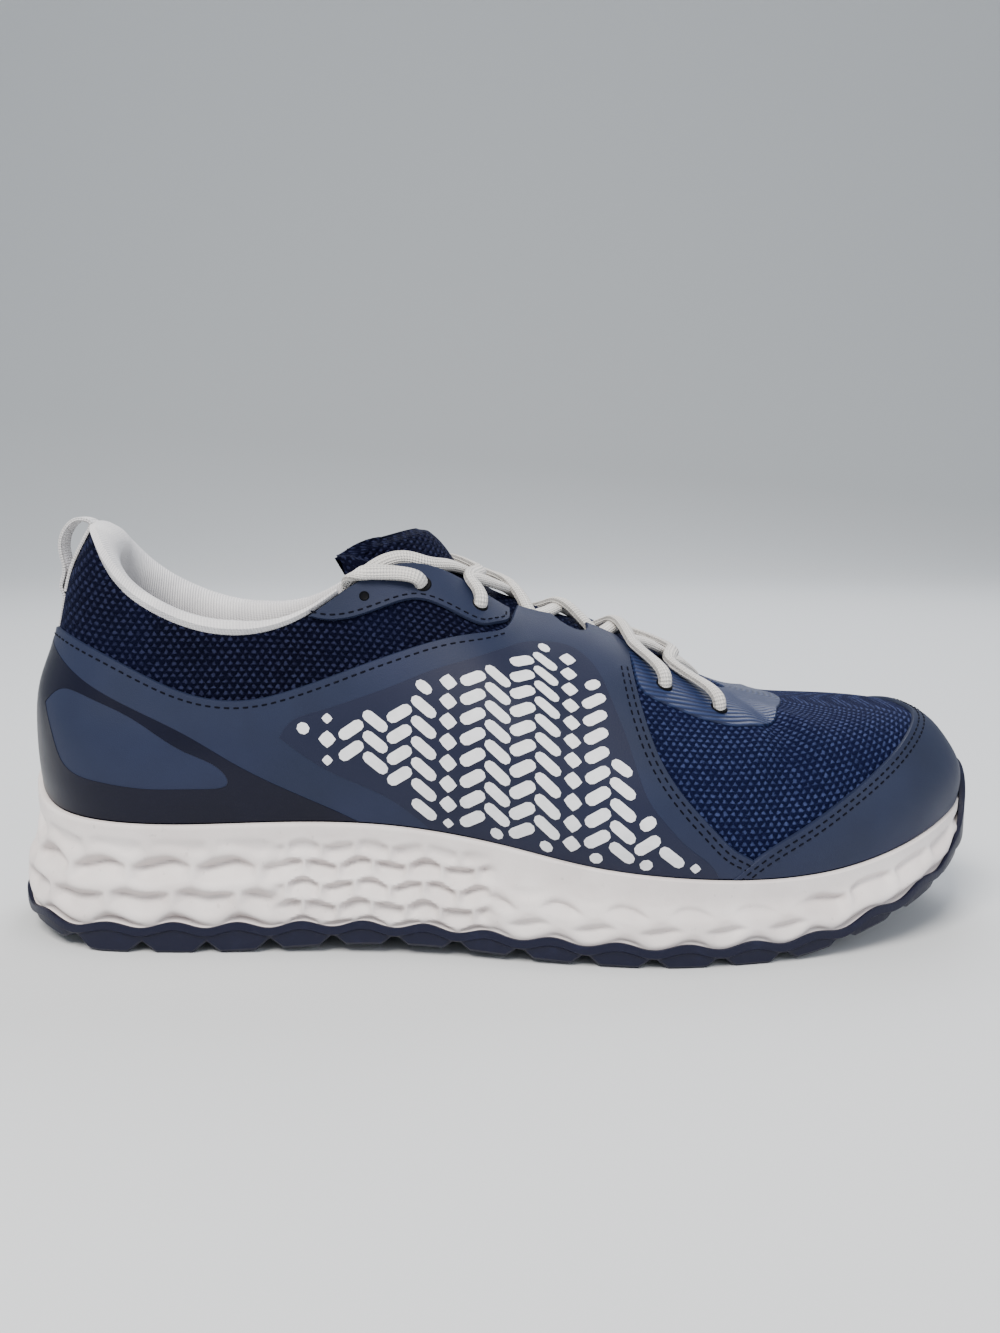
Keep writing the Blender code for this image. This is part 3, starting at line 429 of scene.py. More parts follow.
def makeKnit():
    # engineered knit: brick-laid polyester loops, near-black navy at the heel and bluer on the vamp, with
    # painted highlights on the upper half of each loop
    material, tree, shader = newMaterial("engineered_knit", rough=0.75, shine=0.05, sheen=0.05,
                                         sheenRough=0.4, sheenTint="#6478c8")
    place = jittered(tree, 1.1)
    pitch, stretch = 2.3, 0.67
    weave = addNode(tree, "Math", diagonals(tree, pitch, stretch, place), **times)
    loops = addNode(tree, "Math", (weave,), operation="ABSOLUTE")
    row = addNode(tree, "SeparateXYZ", (place,), 1)
    across = addNode(tree, "Math", (row, 2 * math.pi * stretch / pitch), **times)
    # painted highlight: the upper half of each loop is coloured lighter, as a small lying arc
    arcs = addNode(tree, "Math", (weave, addNode(tree, "Math", (across,), **sine)), **times)
    yarn = unevenness(tree, 2400.0, 2.0, 0.7)
    height = addNode(tree, "Math", (yarn, 0.7, loops), **timesPlus)
    lit = addNode(tree, "MapRange", (addNode(tree, "Math", (yarn, 0.45, arcs), **timesPlus), 0.20, 0.72),
                  **soft)
    loopHighlight = addNode(tree, "Math", (lit, unevenness(tree, 420.0, 2.0, between=(0.05, 0.70))), **times)
    # painted light: the ground and highlight colours get lighter and bluer from the sides forward to the
    # vamp, by where it is on the shoe, as light falling on it
    x = addNode(tree, "SeparateXYZ", (addNode(tree, "TexCoord", output="Object"),))
    forward = addNode(tree, "MapRange", (x, 0.005, 0.055), **soft)
    ground = addNode(tree, "Mix", {0: forward, 6: "#030415", 7: "#0b102d"}, **mixed)
    bright = addNode(tree, "Mix", {0: forward, 6: "#282c45", 7: "#3c466c"}, **mixed)
    shade = addNode(tree, "Mix", {0: loopHighlight, 6: ground, 7: bright}, **mixed)
    blotch = addNode(tree, "Math", (unevenness(tree, 40.0, 3.0, between=(0.3, 0.75)), 0.25), **times)
    feed(tree, shader, color=addNode(tree, "Mix", {0: blotch, 6: shade, 7: "#0c1030"}, **mixed),
         normal=addNode(tree, "Bump", {"Height": height, "Distance": 0.0007, "Strength": 0.8}))
    return material


def makeOverlaySkin(name, colour, darker, rough):
    # fused synthetic leather: a satin slate film over the knit, with a very fine grain
    material, tree, shader = newMaterial(name, rough=rough, coat=0.03, coatRough=0.45, shine=0.22)
    tone = unevenness(tree, 22.0, 3.0, between=(0.3, 0.75))
    grain = unevenness(tree, 2600.0, 3.0, 0.6)
    feed(tree, shader, color=addNode(tree, "Mix", {0: tone, 6: darker, 7: colour}, **mixed),
         rough=addNode(tree, "Math", (unevenness(tree, 60.0), 0.20, rough - 0.10), **timesPlus),
         normal=addNode(tree, "Bump", {"Height": grain, "Distance": 0.00012, "Strength": 0.5}))
    return material


def makeFoam():
    # moulded EVA foam: warm white, half matt skin with a faint mottle, small grey specks of dirt and painted
    # shade under the scoops' top edges
    material, tree, shader = newMaterial("moulded_eva_foam", rough=0.55)
    mottle = unevenness(tree, 70.0, 5.0, between=(0.25, 0.8))
    base = addNode(tree, "Mix", {0: mottle, 6: "#e2d9d6", 7: "#f0e9e6"}, **mixed)
    dirt = addNode(tree, "Math", (unevenness(tree, 400.0, 2.0, between=(0.66, 0.76)), 0.25), **times)
    speck = addNode(tree, "Mix", {0: dirt, 6: base, 7: "#a59c98"}, **mixed)
    # painted shade: the second cloth coordinate of the midsole tells how far a place lies under a scoop's
    # top edge, and that much grey is mixed in
    paintedScoopShade = addNode(tree, "SeparateXYZ", (addNode(tree, "UVMap", uv_map="cloth"),), 1)
    shade = {0: addNode(tree, "Math", (paintedScoopShade, 0.50), **times), 6: speck, 7: "#aea3a1"}
    feed(tree, shader, color=addNode(tree, "Mix", shade, **mixed),
         normal=addNode(tree, "Bump", {"Height": unevenness(tree, 1500.0, 3.0), "Distance": 0.0001,
                                       "Strength": 0.5}))
    return material


def makeRubber():
    # moulded carbon rubber: deep navy, a low sheen, lightly scuffed where it meets the ground
    material, tree, shader = newMaterial("moulded_rubber", rough=0.46, shine=0.3)
    scuff = unevenness(tree, 180.0, 6.0, 0.7, (0.52, 0.75))
    scuff = addNode(tree, "Math", (scuff, 0.35), **times)
    feed(tree, shader, color=addNode(tree, "Mix", {0: scuff, 6: "#0a0d26", 7: "#1c2140"}, **mixed),
         normal=addNode(tree, "Bump", {"Height": unevenness(tree, 1100.0), "Distance": 0.00015,
                                       "Strength": 0.6}))
    return material


def makeLining():
    # brushed spacer mesh lining: off white with fine upright ribs and painted shade in the grooves between
    # them
    material, tree, shader = newMaterial("spacer_mesh_lining", rough=0.85, sheen=0.25, sheenRough=0.5)
    upright = ribbing(tree, 0.95, 0)
    height = addNode(tree, "Math", (ribbing(tree, 0.8, 1), 0.3, upright), **timesPlus)
    tone = unevenness(tree, 90.0, between=(0.3, 0.75))
    base = addNode(tree, "Mix", {0: tone, 6: "#dcdadb", 7: "#f0eeed"}, **mixed)
    # painted shade: grey mixed in where the ribs dip
    groove = addNode(tree, "MapRange", (upright, 0.2, -0.9), **soft)
    groove = addNode(tree, "Math", (groove, 0.35), **times)
    feed(tree, shader, color=addNode(tree, "Mix", {0: groove, 6: base, 7: "#aeacb0"}, **mixed),
         normal=addNode(tree, "Bump", {"Height": height, "Distance": 0.00016, "Strength": 0.6}))
    return material


def makeWoven(name, light, dark, pitch, depth):
    # flat woven polyester: matt yarns crossing on the slant, with painted shade in the gaps between them
    material, tree, shader = newMaterial(name, rough=0.8, sheen=0.2, sheenRough=0.5)
    height = addNode(tree, "Math", diagonals(tree, pitch), **times)
    tone = unevenness(tree, 120.0, between=(0.3, 0.8))
    base = addNode(tree, "Mix", {0: tone, 6: dark, 7: light}, **mixed)
    # painted shade: grey mixed in where the yarns dip
    gapShade = addNode(tree, "MapRange", (height, 0.1, -0.8), **soft)
    gapShade = addNode(tree, "Math", (gapShade, 0.4), **times)
    feed(tree, shader, color=addNode(tree, "Mix", {0: gapShade, 6: base, 7: "#8f8a88"}, **mixed),
         normal=addNode(tree, "Bump", {"Height": height, "Distance": depth, "Strength": 0.9}))
    return material


def makeFilm():
    # thermoplastic film fused over the knit: satin slate blue with fine ribs along it, their tops painted
    # lighter as a highlight
    material, tree, shader = newMaterial("thermoplastic_film", rough=0.42, shine=0.3, coat=0.04,
                                         coatRough=0.3)
    ribs = ribbing(tree, 1.9, 1)
    # painted highlight: lighter where the ribs rise
    lit = addNode(tree, "MapRange", (ribs, -0.6, 0.8), **soft)
    feed(tree, shader, color=addNode(tree, "Mix", {0: lit, 6: "#18213f", 7: "#253358"}, **mixed),
         normal=addNode(tree, "Bump", {"Height": ribs, "Distance": 0.00015, "Strength": 0.5}))
    return material


def makePaint(name, colour, rough, shine=0.4):
    # screen printed ink or thread: flat colour with a little unevenness
    material, tree, shader = newMaterial(name, rough=rough, shine=shine)
    tone = unevenness(tree, 300.0, between=(0.2, 0.8))
    dim = tuple(c * 0.86 for c in linear(colour)[:3]) + (1.0,)
    feed(tree, shader, color=addNode(tree, "Mix", {0: tone, 6: dim, 7: colour}, **mixed),
         normal=addNode(tree, "Bump", {"Height": unevenness(tree, 1800.0), "Distance": 0.00008,
                                       "Strength": 0.5}))
    return material


knit = makeKnit()
overlaySkin = makeOverlaySkin("fused_synthetic_leather", "#232a43", "#1d2439", 0.50)
glossBand = makeOverlaySkin("printed_gloss_film", "#090b20", "#07091b", 0.34)
printGround = makeOverlaySkin("printed_ground", "#1e2238", "#1a1e33", 0.46)
foam, rubber, lining = makeFoam(), makeRubber(), makeLining()
laceWeave = makeWoven("woven_polyester_lace", "#f2eee8", "#e6e2dc", 0.9, 0.0003)
ribbonWeave = makeWoven("woven_ribbon", "#eeecec", "#dedcdc", 0.8, 0.0002)
film = makeFilm()
whiteInk = makePaint("white_screen_print", "#f2f3f6", 0.5)
thread = makePaint("polyester_thread", "#090b18", 0.7, 0.08)
# near black standing for the painted shade inside each punched hole and on its rim
holeShadePaint = makePaint("painted_hole_shade", "#030409", 0.6, 0.1)
insoleCloth = makeWoven("brushed_insole_cloth", "#474e68", "#3b415a", 1.4, 0.0002)
print("materials", len(bpy.data.materials))

# the upper: an engineered knit shell, lined inside
upperMesh = dict(around=540, up=84, inside=14, skirt=7.0, inset=0.0006, round=0.0004)


def makeUpper():
    u = np.arange(upperMesh["around"]) * 2 / upperMesh["around"]
    outer, inner = np.linspace(0, 1, upperMesh["up"]), np.linspace(1, 0, upperMesh["inside"])

    def skirt(inset):
        # the part that goes down into the midsole's cup
        foot = planOutset(u, -inset)
        foot[:, 2] -= upperMesh["skirt"] * mm
        return foot

    # up the outer face, over the rounded edge, down the inner face
    rows = [skirt(upperMesh["inset"])]
    rows += [onSkin(u, s + 0 * u, -upperMesh["round"] if s == 1 else 0.0) for s in outer]
    rows.append(onSkin(u, 1.0 + 0 * u, -shoe["wall"] / 2) + 0.0002 * np.array([0, 0, 1]))
    rows += [onSkin(u, s + 0 * u, -shoe["wall"]) for s in inner]
    rows.append(skirt(upperMesh["inset"] + shoe["wall"]))
    cloth = [clothPlace(u, s + 0 * u) for s in [0.0, *outer, 1.0, *inner, 0.0]]
    count = len(u)
    faces = gridFaces(len(rows), count)
    last = (len(rows) - 1) * count
    faces += [(last + i, last + (i + 1) % count, (i + 1) % count, i) for i in range(count)]
    piece = addPiece("upper_knit", rows, faces, knit, "upper", ["upper"], np.concatenate(cloth))
    piece.data.materials.append(lining)
    outerFaces = (2 + upperMesh["up"]) * count
    index = np.zeros(len(piece.data.polygons), np.int32)
    index[outerFaces:] = 1
    piece.data.polygons.foreach_set("material_index", index)


makeUpper()
print("upper done")

# outlines on the skin as (u, level), with a 1 where the outline turns a corner
chart = np.array([345.0, 75.0])  # rough millimetres to a unit, for spacing points
outlineStep = 1.6


def flow(points, closed=True):
    # a smooth outline through given points, sharp where they are marked
    rows = [tuple(p) + (0,) * (3 - len(p)) for p in points]
    corners = [i for i, r in enumerate(rows) if r[2]]
    if closed:
        start = corners[0] if corners else 0
        rows = rows[start:] + rows[:start + 1]
        if not corners:
            rows[0] = rows[0][:2] + (1,)
            rows[-1] = rows[0]
    else:
        rows[0], rows[-1] = rows[0][:2] + (1,), rows[-1][:2] + (1,)
    marks = [i for i, r in enumerate(rows) if r[2]]
    out = []
    for a, b in zip(marks, marks[1:]):
        run = np.array([r[:2] for r in rows[a:b + 1]])
        steps = runLength(run * chart)
        count = max(int(steps[-1] / outlineStep), 1)
        at = np.linspace(0, steps[-1], count + 1)
        made = curveThrough(steps, run)(at) if len(run) > 2 else \
            np.stack([np.interp(at, steps, run[:, k]) for k in (0, 1)], -1)
        out.append(made[:-1])
    if not closed:
        out.append(run[-1:])
    return np.concatenate(out)


def shifted(line, distance, closed=True):
    # the line moved to its left on the skin by a real distance in metres
    if closed:
        step = np.roll(line, -1, 0) - np.roll(line, 1, 0)
    else:
        step = np.gradient(line, axis=0)
    u, s = line.T
    e = 2e-3
    across = (onSkin(u + e, s) - onSkin(u - e, s)) / (2 * e)
    high, low = np.minimum(s + e, skinSize["top"]), np.maximum(s - e, 0)
    rise = (onSkin(u, high) - onSkin(u, low)) / (high - low)[:, None]
    normal = unit(readSkin(skinNormal, u, s))
    tangent = unit(step[:, :1] * across + step[:, 1:] * rise)
    move = np.asarray(distance)[..., None] * np.cross(normal, tangent)
    aa, bb, ab = (across**2).sum(1), (rise**2).sum(1), (across * rise).sum(1)
    ma, mb = (move * across).sum(1), (move * rise).sum(1)
    det = aa * bb - ab**2
    return line + np.stack([ma * bb - mb * ab, mb * aa - ma * ab], -1) / det[:, None]


def insideLoops(points, loops):
    # even-odd test of many points against loops of (u, level)
    inside = np.zeros(len(points), bool)
    for loop in loops:
        x0, y0 = loop.T
        x1, y1 = np.roll(loop, -1, 0).T
        for a, b, c, d in zip(x0, y0, x1, y1):
            if b == d:
                continue
            hit = (points[:, 1] > min(b, d)) & (points[:, 1] <= max(b, d))
            inside ^= hit & (points[:, 0] < a + (points[:, 1] - b) / (d - b) * (c - a))
    return inside


def turned(loop, left):
    # the loop with its inside on the left, or on the right for a hole
    x, y = loop.T
    area = (x * np.roll(y, -1) - y * np.roll(x, -1)).sum()
    return loop if (area > 0) == left else loop[::-1]


def panelMesh(loops, low, high, bevel=0.35, spacing=2.6):
    # a closed thin panel on the skin with rounded edges: points, faces, cloth places
    loops = [turned(loop, k == 0) for k, loop in enumerate(loops)]
    places, kinds, edges = [], [], []
    for loop in loops:
        for kind, line in enumerate((loop, shifted(loop, bevel * mm))):
            first, n = len(places), len(line)
            places += [tuple(p) for p in line]
            kinds += [kind] * n
            edges += [(first + i, first + (i + 1) % n) for i in range(n)]
    box = loops[0].min(0) * chart, loops[0].max(0) * chart
    xs = np.arange(box[0][0], box[1][0], spacing)
    ys = np.arange(box[0][1], box[1][1], spacing * 0.87)
    gx, gy = np.meshgrid(xs, ys, indexing="ij")
    gx = gx + (np.arange(len(ys)) % 2) * spacing / 2
    inner = np.stack([gx.ravel(), gy.ravel()], -1)
    inner = inner[insideLoops(inner / chart, loops)]
    border = np.array(places) * chart
    if len(inner):
        near = np.full(len(inner), 1e9)
        for start in range(0, len(border), 200):
            gaps = inner[:, None] - border[None, start:start + 200]
            near = np.minimum(near, (gaps**2).sum(-1).min(1))
        inner = inner[near > (0.55 * spacing) ** 2]
    places += [tuple(p / chart) for p in inner]
    kinds += [2] * len(inner)
    flat = [Vector(np.array(p) * chart) for p in places]
    made = delaunay_2d_cdt(flat, edges, [], 0, 1e-5, True)
    uv = np.array([tuple(v) for v in made[0]]) / chart
    kind = np.array([min([kinds[i] for i in ids], default=2) for ids in made[3]])
    tris = np.array([f for f in made[2] if len(f) == 3])
    middles = uv[tris].mean(1)
    tris = tris[insideLoops(middles, loops)]
    lift = np.where(kind == 0, low + 0.35 * (high - low), high) * mm
    s = np.minimum(uv[:, 1], skinSize["top"])
    top, under = onSkin(uv[:, 0], s, lift), onSkin(uv[:, 0], s, low * mm + 0 * s)
    n = len(uv)
    faces = tris.tolist() + (tris[:, ::-1] + n).tolist()
    count = {}
    for a, b, c in tris.tolist():
        for e in ((a, b), (b, c), (c, a)):
            count[e] = 1
    faces += [(b, a, a + n, b + n) for a, b in count if (b, a) not in count]
    cloth = clothPlace(uv[:, 0], s)
    return np.concatenate([top, under]), faces, np.concatenate([cloth, cloth])


def addPanel(name, loops, low, high, material, slot, replaced=(), **more):
    points, faces, cloth = panelMesh(loops, low, high, **more)
    return addPiece(name, points, faces, material, slot, replaced, cloth)


def mirrored(points, full=0):
    # the outline on the other side; a full turn of 2 keeps u positive
    return [(full - p[0],) + tuple(p[1:]) for p in points]


# overlays: heights over the knit in millimetres
overlay = dict(low=0.05, high=0.95, film=0.75, print=1.02, ink=1.18, gloss=1.08, capLift=0.25,
               stayLift=0.35, stayFoot=0.3, printFoot=0.1, inkFoot=0.05, printBevel=0.06, foot=0.005)

# the quarter's top edge from the heel forwards, its fingers between the laces, its front
quarterTop = [
    (0.030, 0.605), (0.082, 0.674), (0.120, 0.710), (0.157, 0.705), (0.189, 0.678), (0.220, 0.655),
    (0.250, 0.650), (0.280, 0.664), (0.311, 0.685), (0.342, 0.690), (0.372, 0.683), (0.403, 0.681),
    (0.453, 0.708), (0.500, 0.770), (0.530, 0.850), (0.553, 0.990, 1), (0.562, 1.050, 1),
    (0.596, 1.056, 1), (0.604, 0.992), (0.612, 0.975), (0.621, 0.990), (0.630, 1.056, 1),
    (0.664, 1.050, 1), (0.670, 0.990, 1),
]
quarterFront = [
    (0.670, 0.990, 1), (0.646, 0.812), (0.629, 0.640), (0.625, 0.469), (0.638, 0.320),
    (0.661, 0.202), (0.683, 0.118), (0.700, 0.070), (0.706, 0.005, 1),
]
foot = [(u, overlay["foot"]) for u in np.linspace(0.706, -0.706, 60)[1:-1]]
back = [(0.0, 0.580)]
medial = mirrored(quarterFront[::-1]) + mirrored(quarterTop[-2::-1])
quarterLoop = flow(quarterTop + quarterFront[1:] + foot + medial + back)
addPanel("quarter_overlay", [quarterLoop], overlay["low"], overlay["high"], overlaySkin, "overlay",
         ["quarter_panel"])

# the toe cap, from the lateral foot over the toe to the medial one
capRear = [
    (0.680, 0.005, 1), (0.694, 0.076), (0.738, 0.183), (0.790, 0.267), (0.846, 0.344),
    (0.897, 0.410), (0.940, 0.452), (0.985, 0.470), (1.030, 0.466), (1.080, 0.435),
    (1.130, 0.385), (1.190, 0.310), (1.245, 0.215), (1.300, 0.085), (1.316, 0.005, 1),
]
capFoot = [(u, overlay["foot"]) for u in np.linspace(1.316, 0.680, 40)[1:-1]]
capLoop = flow(capRear + capFoot)
addPanel("toe_cap_overlay", [capLoop], overlay["low"], overlay["high"] + overlay["capLift"],
         overlaySkin, "overlay", ["toe_cap"])

# the eyestays round the top eyelets
stay = [
    (0.336, 0.990, 1), (0.350, 0.925), (0.371, 0.868), (0.404, 0.841), (0.439, 0.835),
    (0.470, 0.800), (0.497, 0.790), (0.520, 0.840), (0.538, 0.900), (0.548, 0.990, 1),
]
stayTop = [(u, 0.995) for u in np.linspace(0.548, 0.336, 16)[1:-1]]
for side, outline in (("lateral", stay + stayTop), ("medial", mirrored(stay + stayTop, 2))):
    addPanel("eyestay_overlay_" + side, [flow(outline)], overlay["low"] + overlay["stayFoot"],
             overlay["high"] + overlay["stayLift"], overlaySkin, "overlay", ["eyestay_" + side])

# the ribbed film beside the low lacing, over the front of the throat
filmSide = [
    (0.664, 0.990, 1), (0.650, 0.830), (0.640, 0.700), (0.660, 0.662), (0.684, 0.630),
    (0.706, 0.612), (0.728, 0.604), (0.750, 0.616), (0.772, 0.650), (0.793, 0.690), (0.812, 0.730),
    (0.832, 0.764), (0.862, 0.794), (0.910, 0.820), (1.000, 0.832),
]
filmOther = mirrored(filmSide[-2::-1], 2)
filmEdge = [(u, 0.990) for u in np.linspace(2 - 0.664, 0.664, 40)[1:-1]]
addPanel("vamp_film_overlay", [flow(filmSide + filmOther + filmEdge)], overlay["low"], overlay["film"],
         film, "film", ["vamp_film"], spacing=2.0)
print("overlays done")

# the heel's printed gloss band with a bare lobe in it
band = [
    (0.0, 0.560), (0.060, 0.575), (0.108, 0.572), (0.161, 0.533), (0.207, 0.453), (0.245, 0.331),
    (0.299, 0.168), (0.355, 0.012, 1),
]
bandFoot = [(u, 0.012) for u in np.linspace(0.355, -0.355, 40)[1:-1]]
bandOther = mirrored(band[:0:-1])
lobe = [
    (0.070, 0.400), (0.087, 0.313), (0.100, 0.225), (0.134, 0.190), (0.175, 0.186), (0.217, 0.199),
    (0.241, 0.232), (0.238, 0.276), (0.207, 0.369), (0.162, 0.489), (0.122, 0.520), (0.088, 0.490),
]
loops = [flow(line) for line in (band + bandFoot + bandOther, lobe, mirrored(lobe))]
addPanel("heel_gloss_print", loops, overlay["high"] - overlay["printFoot"], overlay["gloss"], glossBand,
         "overlay", bevel=overlay["printBevel"])

# the print window and its herringbone of bars and lozenges
window = [
    (0.286, 0.450, 1), (0.299, 0.528), (0.325, 0.556), (0.352, 0.564), (0.383, 0.570), (0.420, 0.596),
    (0.458, 0.634), (0.516, 0.743), (0.550, 0.825), (0.575, 0.858), (0.592, 0.850), (0.603, 0.773),
    (0.602, 0.675), (0.600, 0.533), (0.600, 0.400), (0.604, 0.305), (0.617, 0.225), (0.637, 0.140),
    (0.657, 0.075), (0.667, 0.018, 1),
]
windowFoot = [(u, 0.014) for u in np.linspace(0.667, 0.417, 20)[1:-1]]
windowLow = [(0.417, 0.014, 1), (0.373, 0.151), (0.327, 0.266), (0.295, 0.400)]
inkMotifs = dict(columnPitch=6.9, rowPitch=6.0, barLength=8.2, barWidth=3.3, tilt=36.0, lozenge=5.0,
                 margin=1.1)


def placeOnCloth(x, arc, side):
    # the (u, level) of a place given in cloth millimetres, on one side of the shoe
    u = np.interp(x, rimCurve(np.linspace(0, 1, 400))[:, 0] * 1000, np.linspace(0, 1, 400))
    u = u if side < 0 else 2 - u
    s = np.full_like(u, 0.3)
    for _ in range(12):
        here = clothPlace(u, s)
        du = (clothPlace(u + 2e-3, s) - clothPlace(u - 2e-3, s)) / 4e-3
        ds = (clothPlace(u, np.minimum(s + 4e-3, 1.05)) - clothPlace(u, np.maximum(s - 4e-3, 0))) / 8e-3
        miss = np.stack([x, arc], -1) - here
        det = du[:, 0] * ds[:, 1] - du[:, 1] * ds[:, 0]
        u = u + np.clip((miss[:, 0] * ds[:, 1] - miss[:, 1] * ds[:, 0]) / det, -0.05, 0.05)
        s = s + np.clip((du[:, 0] * miss[:, 1] - du[:, 1] * miss[:, 0]) / det, -0.1, 0.1)
        s = np.clip(s, 0.01, 1.04)
    return np.stack([u, s], -1)


def barShape(length, width):
    # a bar with round ends, about its middle
    turn = np.linspace(-math.pi / 2, math.pi / 2, 5)
    end = np.stack([np.cos(turn), np.sin(turn)], -1) * width / 2
    right = end + [(length - width) / 2, 0]
    return np.concatenate([right, -right])


def lozengeShape(size):
    turn = np.arange(8) * math.pi / 4
    reach = np.where(np.arange(8) % 2 == 0, 1.0, 0.80)
    return np.stack([np.cos(turn), np.sin(turn)], -1) * (reach * size / 2)[:, None]


def makePrint(side):
    outline = flow(window + windowFoot + windowLow)
    if side > 0:
        outline = np.stack([2 - outline[:, 0], outline[:, 1]], -1)
    name = "lateral" if side < 0 else "medial"
    addPanel("print_ground_" + name, [outline], overlay["high"] - overlay["printFoot"], overlay["print"],
             printGround, "overlay", bevel=overlay["printBevel"])
    border = clothPlace(*outline.T)
    inner = turned(border, True)
    step = unit(np.roll(inner, -1, 0) - np.roll(inner, 1, 0))
    inner = inner + inkMotifs["margin"] * np.stack([-step[:, 1], step[:, 0]], -1)
    low, high = border.min(0), border.max(0)
    shapes = []
    columns = int((high[0] - low[0]) / inkMotifs["columnPitch"]) + 2
    rows = int((high[1] - low[1]) / inkMotifs["rowPitch"]) + 3
    for c in range(columns):
        kind = c % 5
        for r in range(-1, rows):
            x = low[0] + c * inkMotifs["columnPitch"]
            y = low[1] + (r + 0.5 * (c % 2)) * inkMotifs["rowPitch"]
            tilt = math.radians(inkMotifs["tilt"] if kind in (0, 3) else -inkMotifs["tilt"])
            for share in (1.0, 0.8, 0.62, 0.46):
                if kind == 2:
                    shape = lozengeShape(inkMotifs["lozenge"] * max(share, 0.62))
                else:
                    shape = barShape(max(inkMotifs["barLength"] * share, inkMotifs["barWidth"] + 0.01),
                                     inkMotifs["barWidth"])
                    c1, s1 = math.cos(tilt), math.sin(tilt)
                    shape = shape @ np.array([[c1, s1], [-s1, c1]])
                moved = shape + [x, y]
                if insideLoops(moved, [inner]).all():
                    shapes.append(np.concatenate([[[x, y]], moved]))
                    break
    parts = []
    for shape in shapes:
        n = len(shape) - 1
        uv = placeOnCloth(shape[:, 0], shape[:, 1], side)
        top = onSkin(uv[:, 0], uv[:, 1], np.full(n + 1, overlay["ink"] * mm))
        low = onSkin(uv[:, 0], uv[:, 1], np.full(n + 1, (overlay["print"] - overlay["inkFoot"]) * mm))
        faces = []
        for i in range(n):
            a, b = 1 + i, 1 + (i + 1) % n
            faces += [(0, a, b), (a, a + n, b + n, b), (2 * n + 1, b + n, a + n)]
        parts.append((np.concatenate([top, low[1:], low[:1]]), faces))
    addPiece("print_motifs_" + name, *merged(parts), whiteInk, "overlay", smooth=False)
    return len(shapes)


print("motifs", makePrint(-1), makePrint(1))

# stitches: short raised threads in rows beside the overlays' edges
stitch = dict(pitch=2.7, length=1.9, radius=0.26, sides=6, topInset=2.2, stayInset=1.6,
              doubleInset=(1.8, 3.6))


def threadRow(line, lift):
    # points and faces of the stitches along a line of (u, level)
    path = onSkin(line[:, 0], np.clip(line[:, 1], 0, 1.04), np.full(len(line), lift * mm))
    steps = runLength(path)
    count = int(steps[-1] / (stitch["pitch"] * mm))
    middles = (np.arange(count) + 0.5) * stitch["pitch"] * mm
    half = stitch["length"] * mm / 2

    def at(d):
        return np.stack([np.interp(d, steps, path[:, k]) for k in range(3)], -1)

    u = np.interp(middles, steps, line[:, 0])
    s = np.interp(middles, steps, line[:, 1])
    normal = unit(readSkin(skinNormal, u, s))
    middle, along = at(middles), unit(at(middles + half) - at(middles - half))
    beside = np.cross(normal, along)
    turn = np.arange(stitch["sides"]) * 2 * math.pi / stitch["sides"]
    rings = []
    for reach, size, sink in ((-1.0, 0.35, -0.25), (-0.7, 1.0, 0), (0.7, 1.0, 0), (1.0, 0.35, -0.25)):
        centre = middle + along * half * reach + normal * sink * mm
        ring = [centre + (beside * math.cos(a) + normal * math.sin(a)) * stitch["radius"] * size * mm
                for a in turn]
        rings.append(np.stack(ring, 1))
    points = np.concatenate(rings, 1)
    n, per = stitch["sides"], 4 * stitch["sides"]
    one = gridFaces(4, n) + [tuple(range(n - 1, -1, -1)), tuple(range(3 * n, 4 * n))]
    faces = [tuple(k * per + i for i in f) for k in range(count) for f in one]
    return points.reshape(-1, 3), faces


def inset(points, distance):
    return shifted(flow(points, closed=False), distance * mm, closed=False)


quarterRows, stayRows = [], []
for sign in (1, -1):
    topLine, frontLine, stayLine = [[(sign * p[0], p[1]) for p in line]
                                    for line in (quarterTop[:15], quarterFront[1:], stay)]
    quarterRows.append((inset(topLine, -sign * stitch["topInset"]), overlay["high"]))
    quarterRows += [(inset(frontLine, -sign * d), overlay["high"]) for d in stitch["doubleInset"]]
    stayRows.append((inset(stayLine, sign * stitch["stayInset"]), overlay["high"] + overlay["stayLift"]))
capLine = [p[:2] for p in capRear]
capRows = [(inset(capLine, -d), overlay["high"] + overlay["capLift"]) for d in stitch["doubleInset"]]
rows = [threadRow(line, lift) for line, lift in quarterRows + capRows + stayRows]
addPiece("overlay_stitches", *merged(rows), thread, "overlay")
print("stitches done")

# the midsole: a moulded foam cup whose side changes from scales to bumps to flat cells
sole = dict(around=1080, up=44, rimLip=2.4, toeLip=1.2, heelFlare=4.2, sideFlare=3.6, cupDepth=7.0,
            wave=0.9, lugs=18, lugHeight=3.2, lugDepth=8.5, proud=0.3, bumperWall=1.6,
            bumperRise=17.0, bumperReach=0.090, taper=1.2, edgeBand=1.4)
flareAt = curveThrough([0.0, 0.14, 0.30, 0.46, 0.60, 0.78, 1.0], [0.80, 1.00, 0.90, 0.55, 0.16, 0.0, 0.0])


def lipAt(u):
    return (sole["rimLip"] + (sole["toeLip"] - sole["rimLip"]) * toeNearness(u, 0.16)) * mm


def flareOf(u):
    side = sole["sideFlare"] + (sole["heelFlare"] - sole["sideFlare"]) * heelNearness(u, 0.2)
    return side * (1 - 0.9 * toeNearness(u, 0.2)) * mm


def soleSide(u, share, outset=0.0, flare=None):
    # a point of the midsole's side at a share of the way from its scalloped line, which is low
    # at each notch between two lugs, to its rim
    swell = flareAt(share) if flare is None else flare
    point = planOutset(u, shoe["gap"] + lipAt(u) + swell * flareOf(u) + outset)
    wave = -np.cos(2 * math.pi * sole["lugs"] * u) * sole["wave"] * mm * (1 - share)
    low = soleHeights(point[:, 0])[1] + wave * (1 - toeNearness(u, 0.12))
    point[:, 2] = low + share * (point[:, 2] - low)
    return point


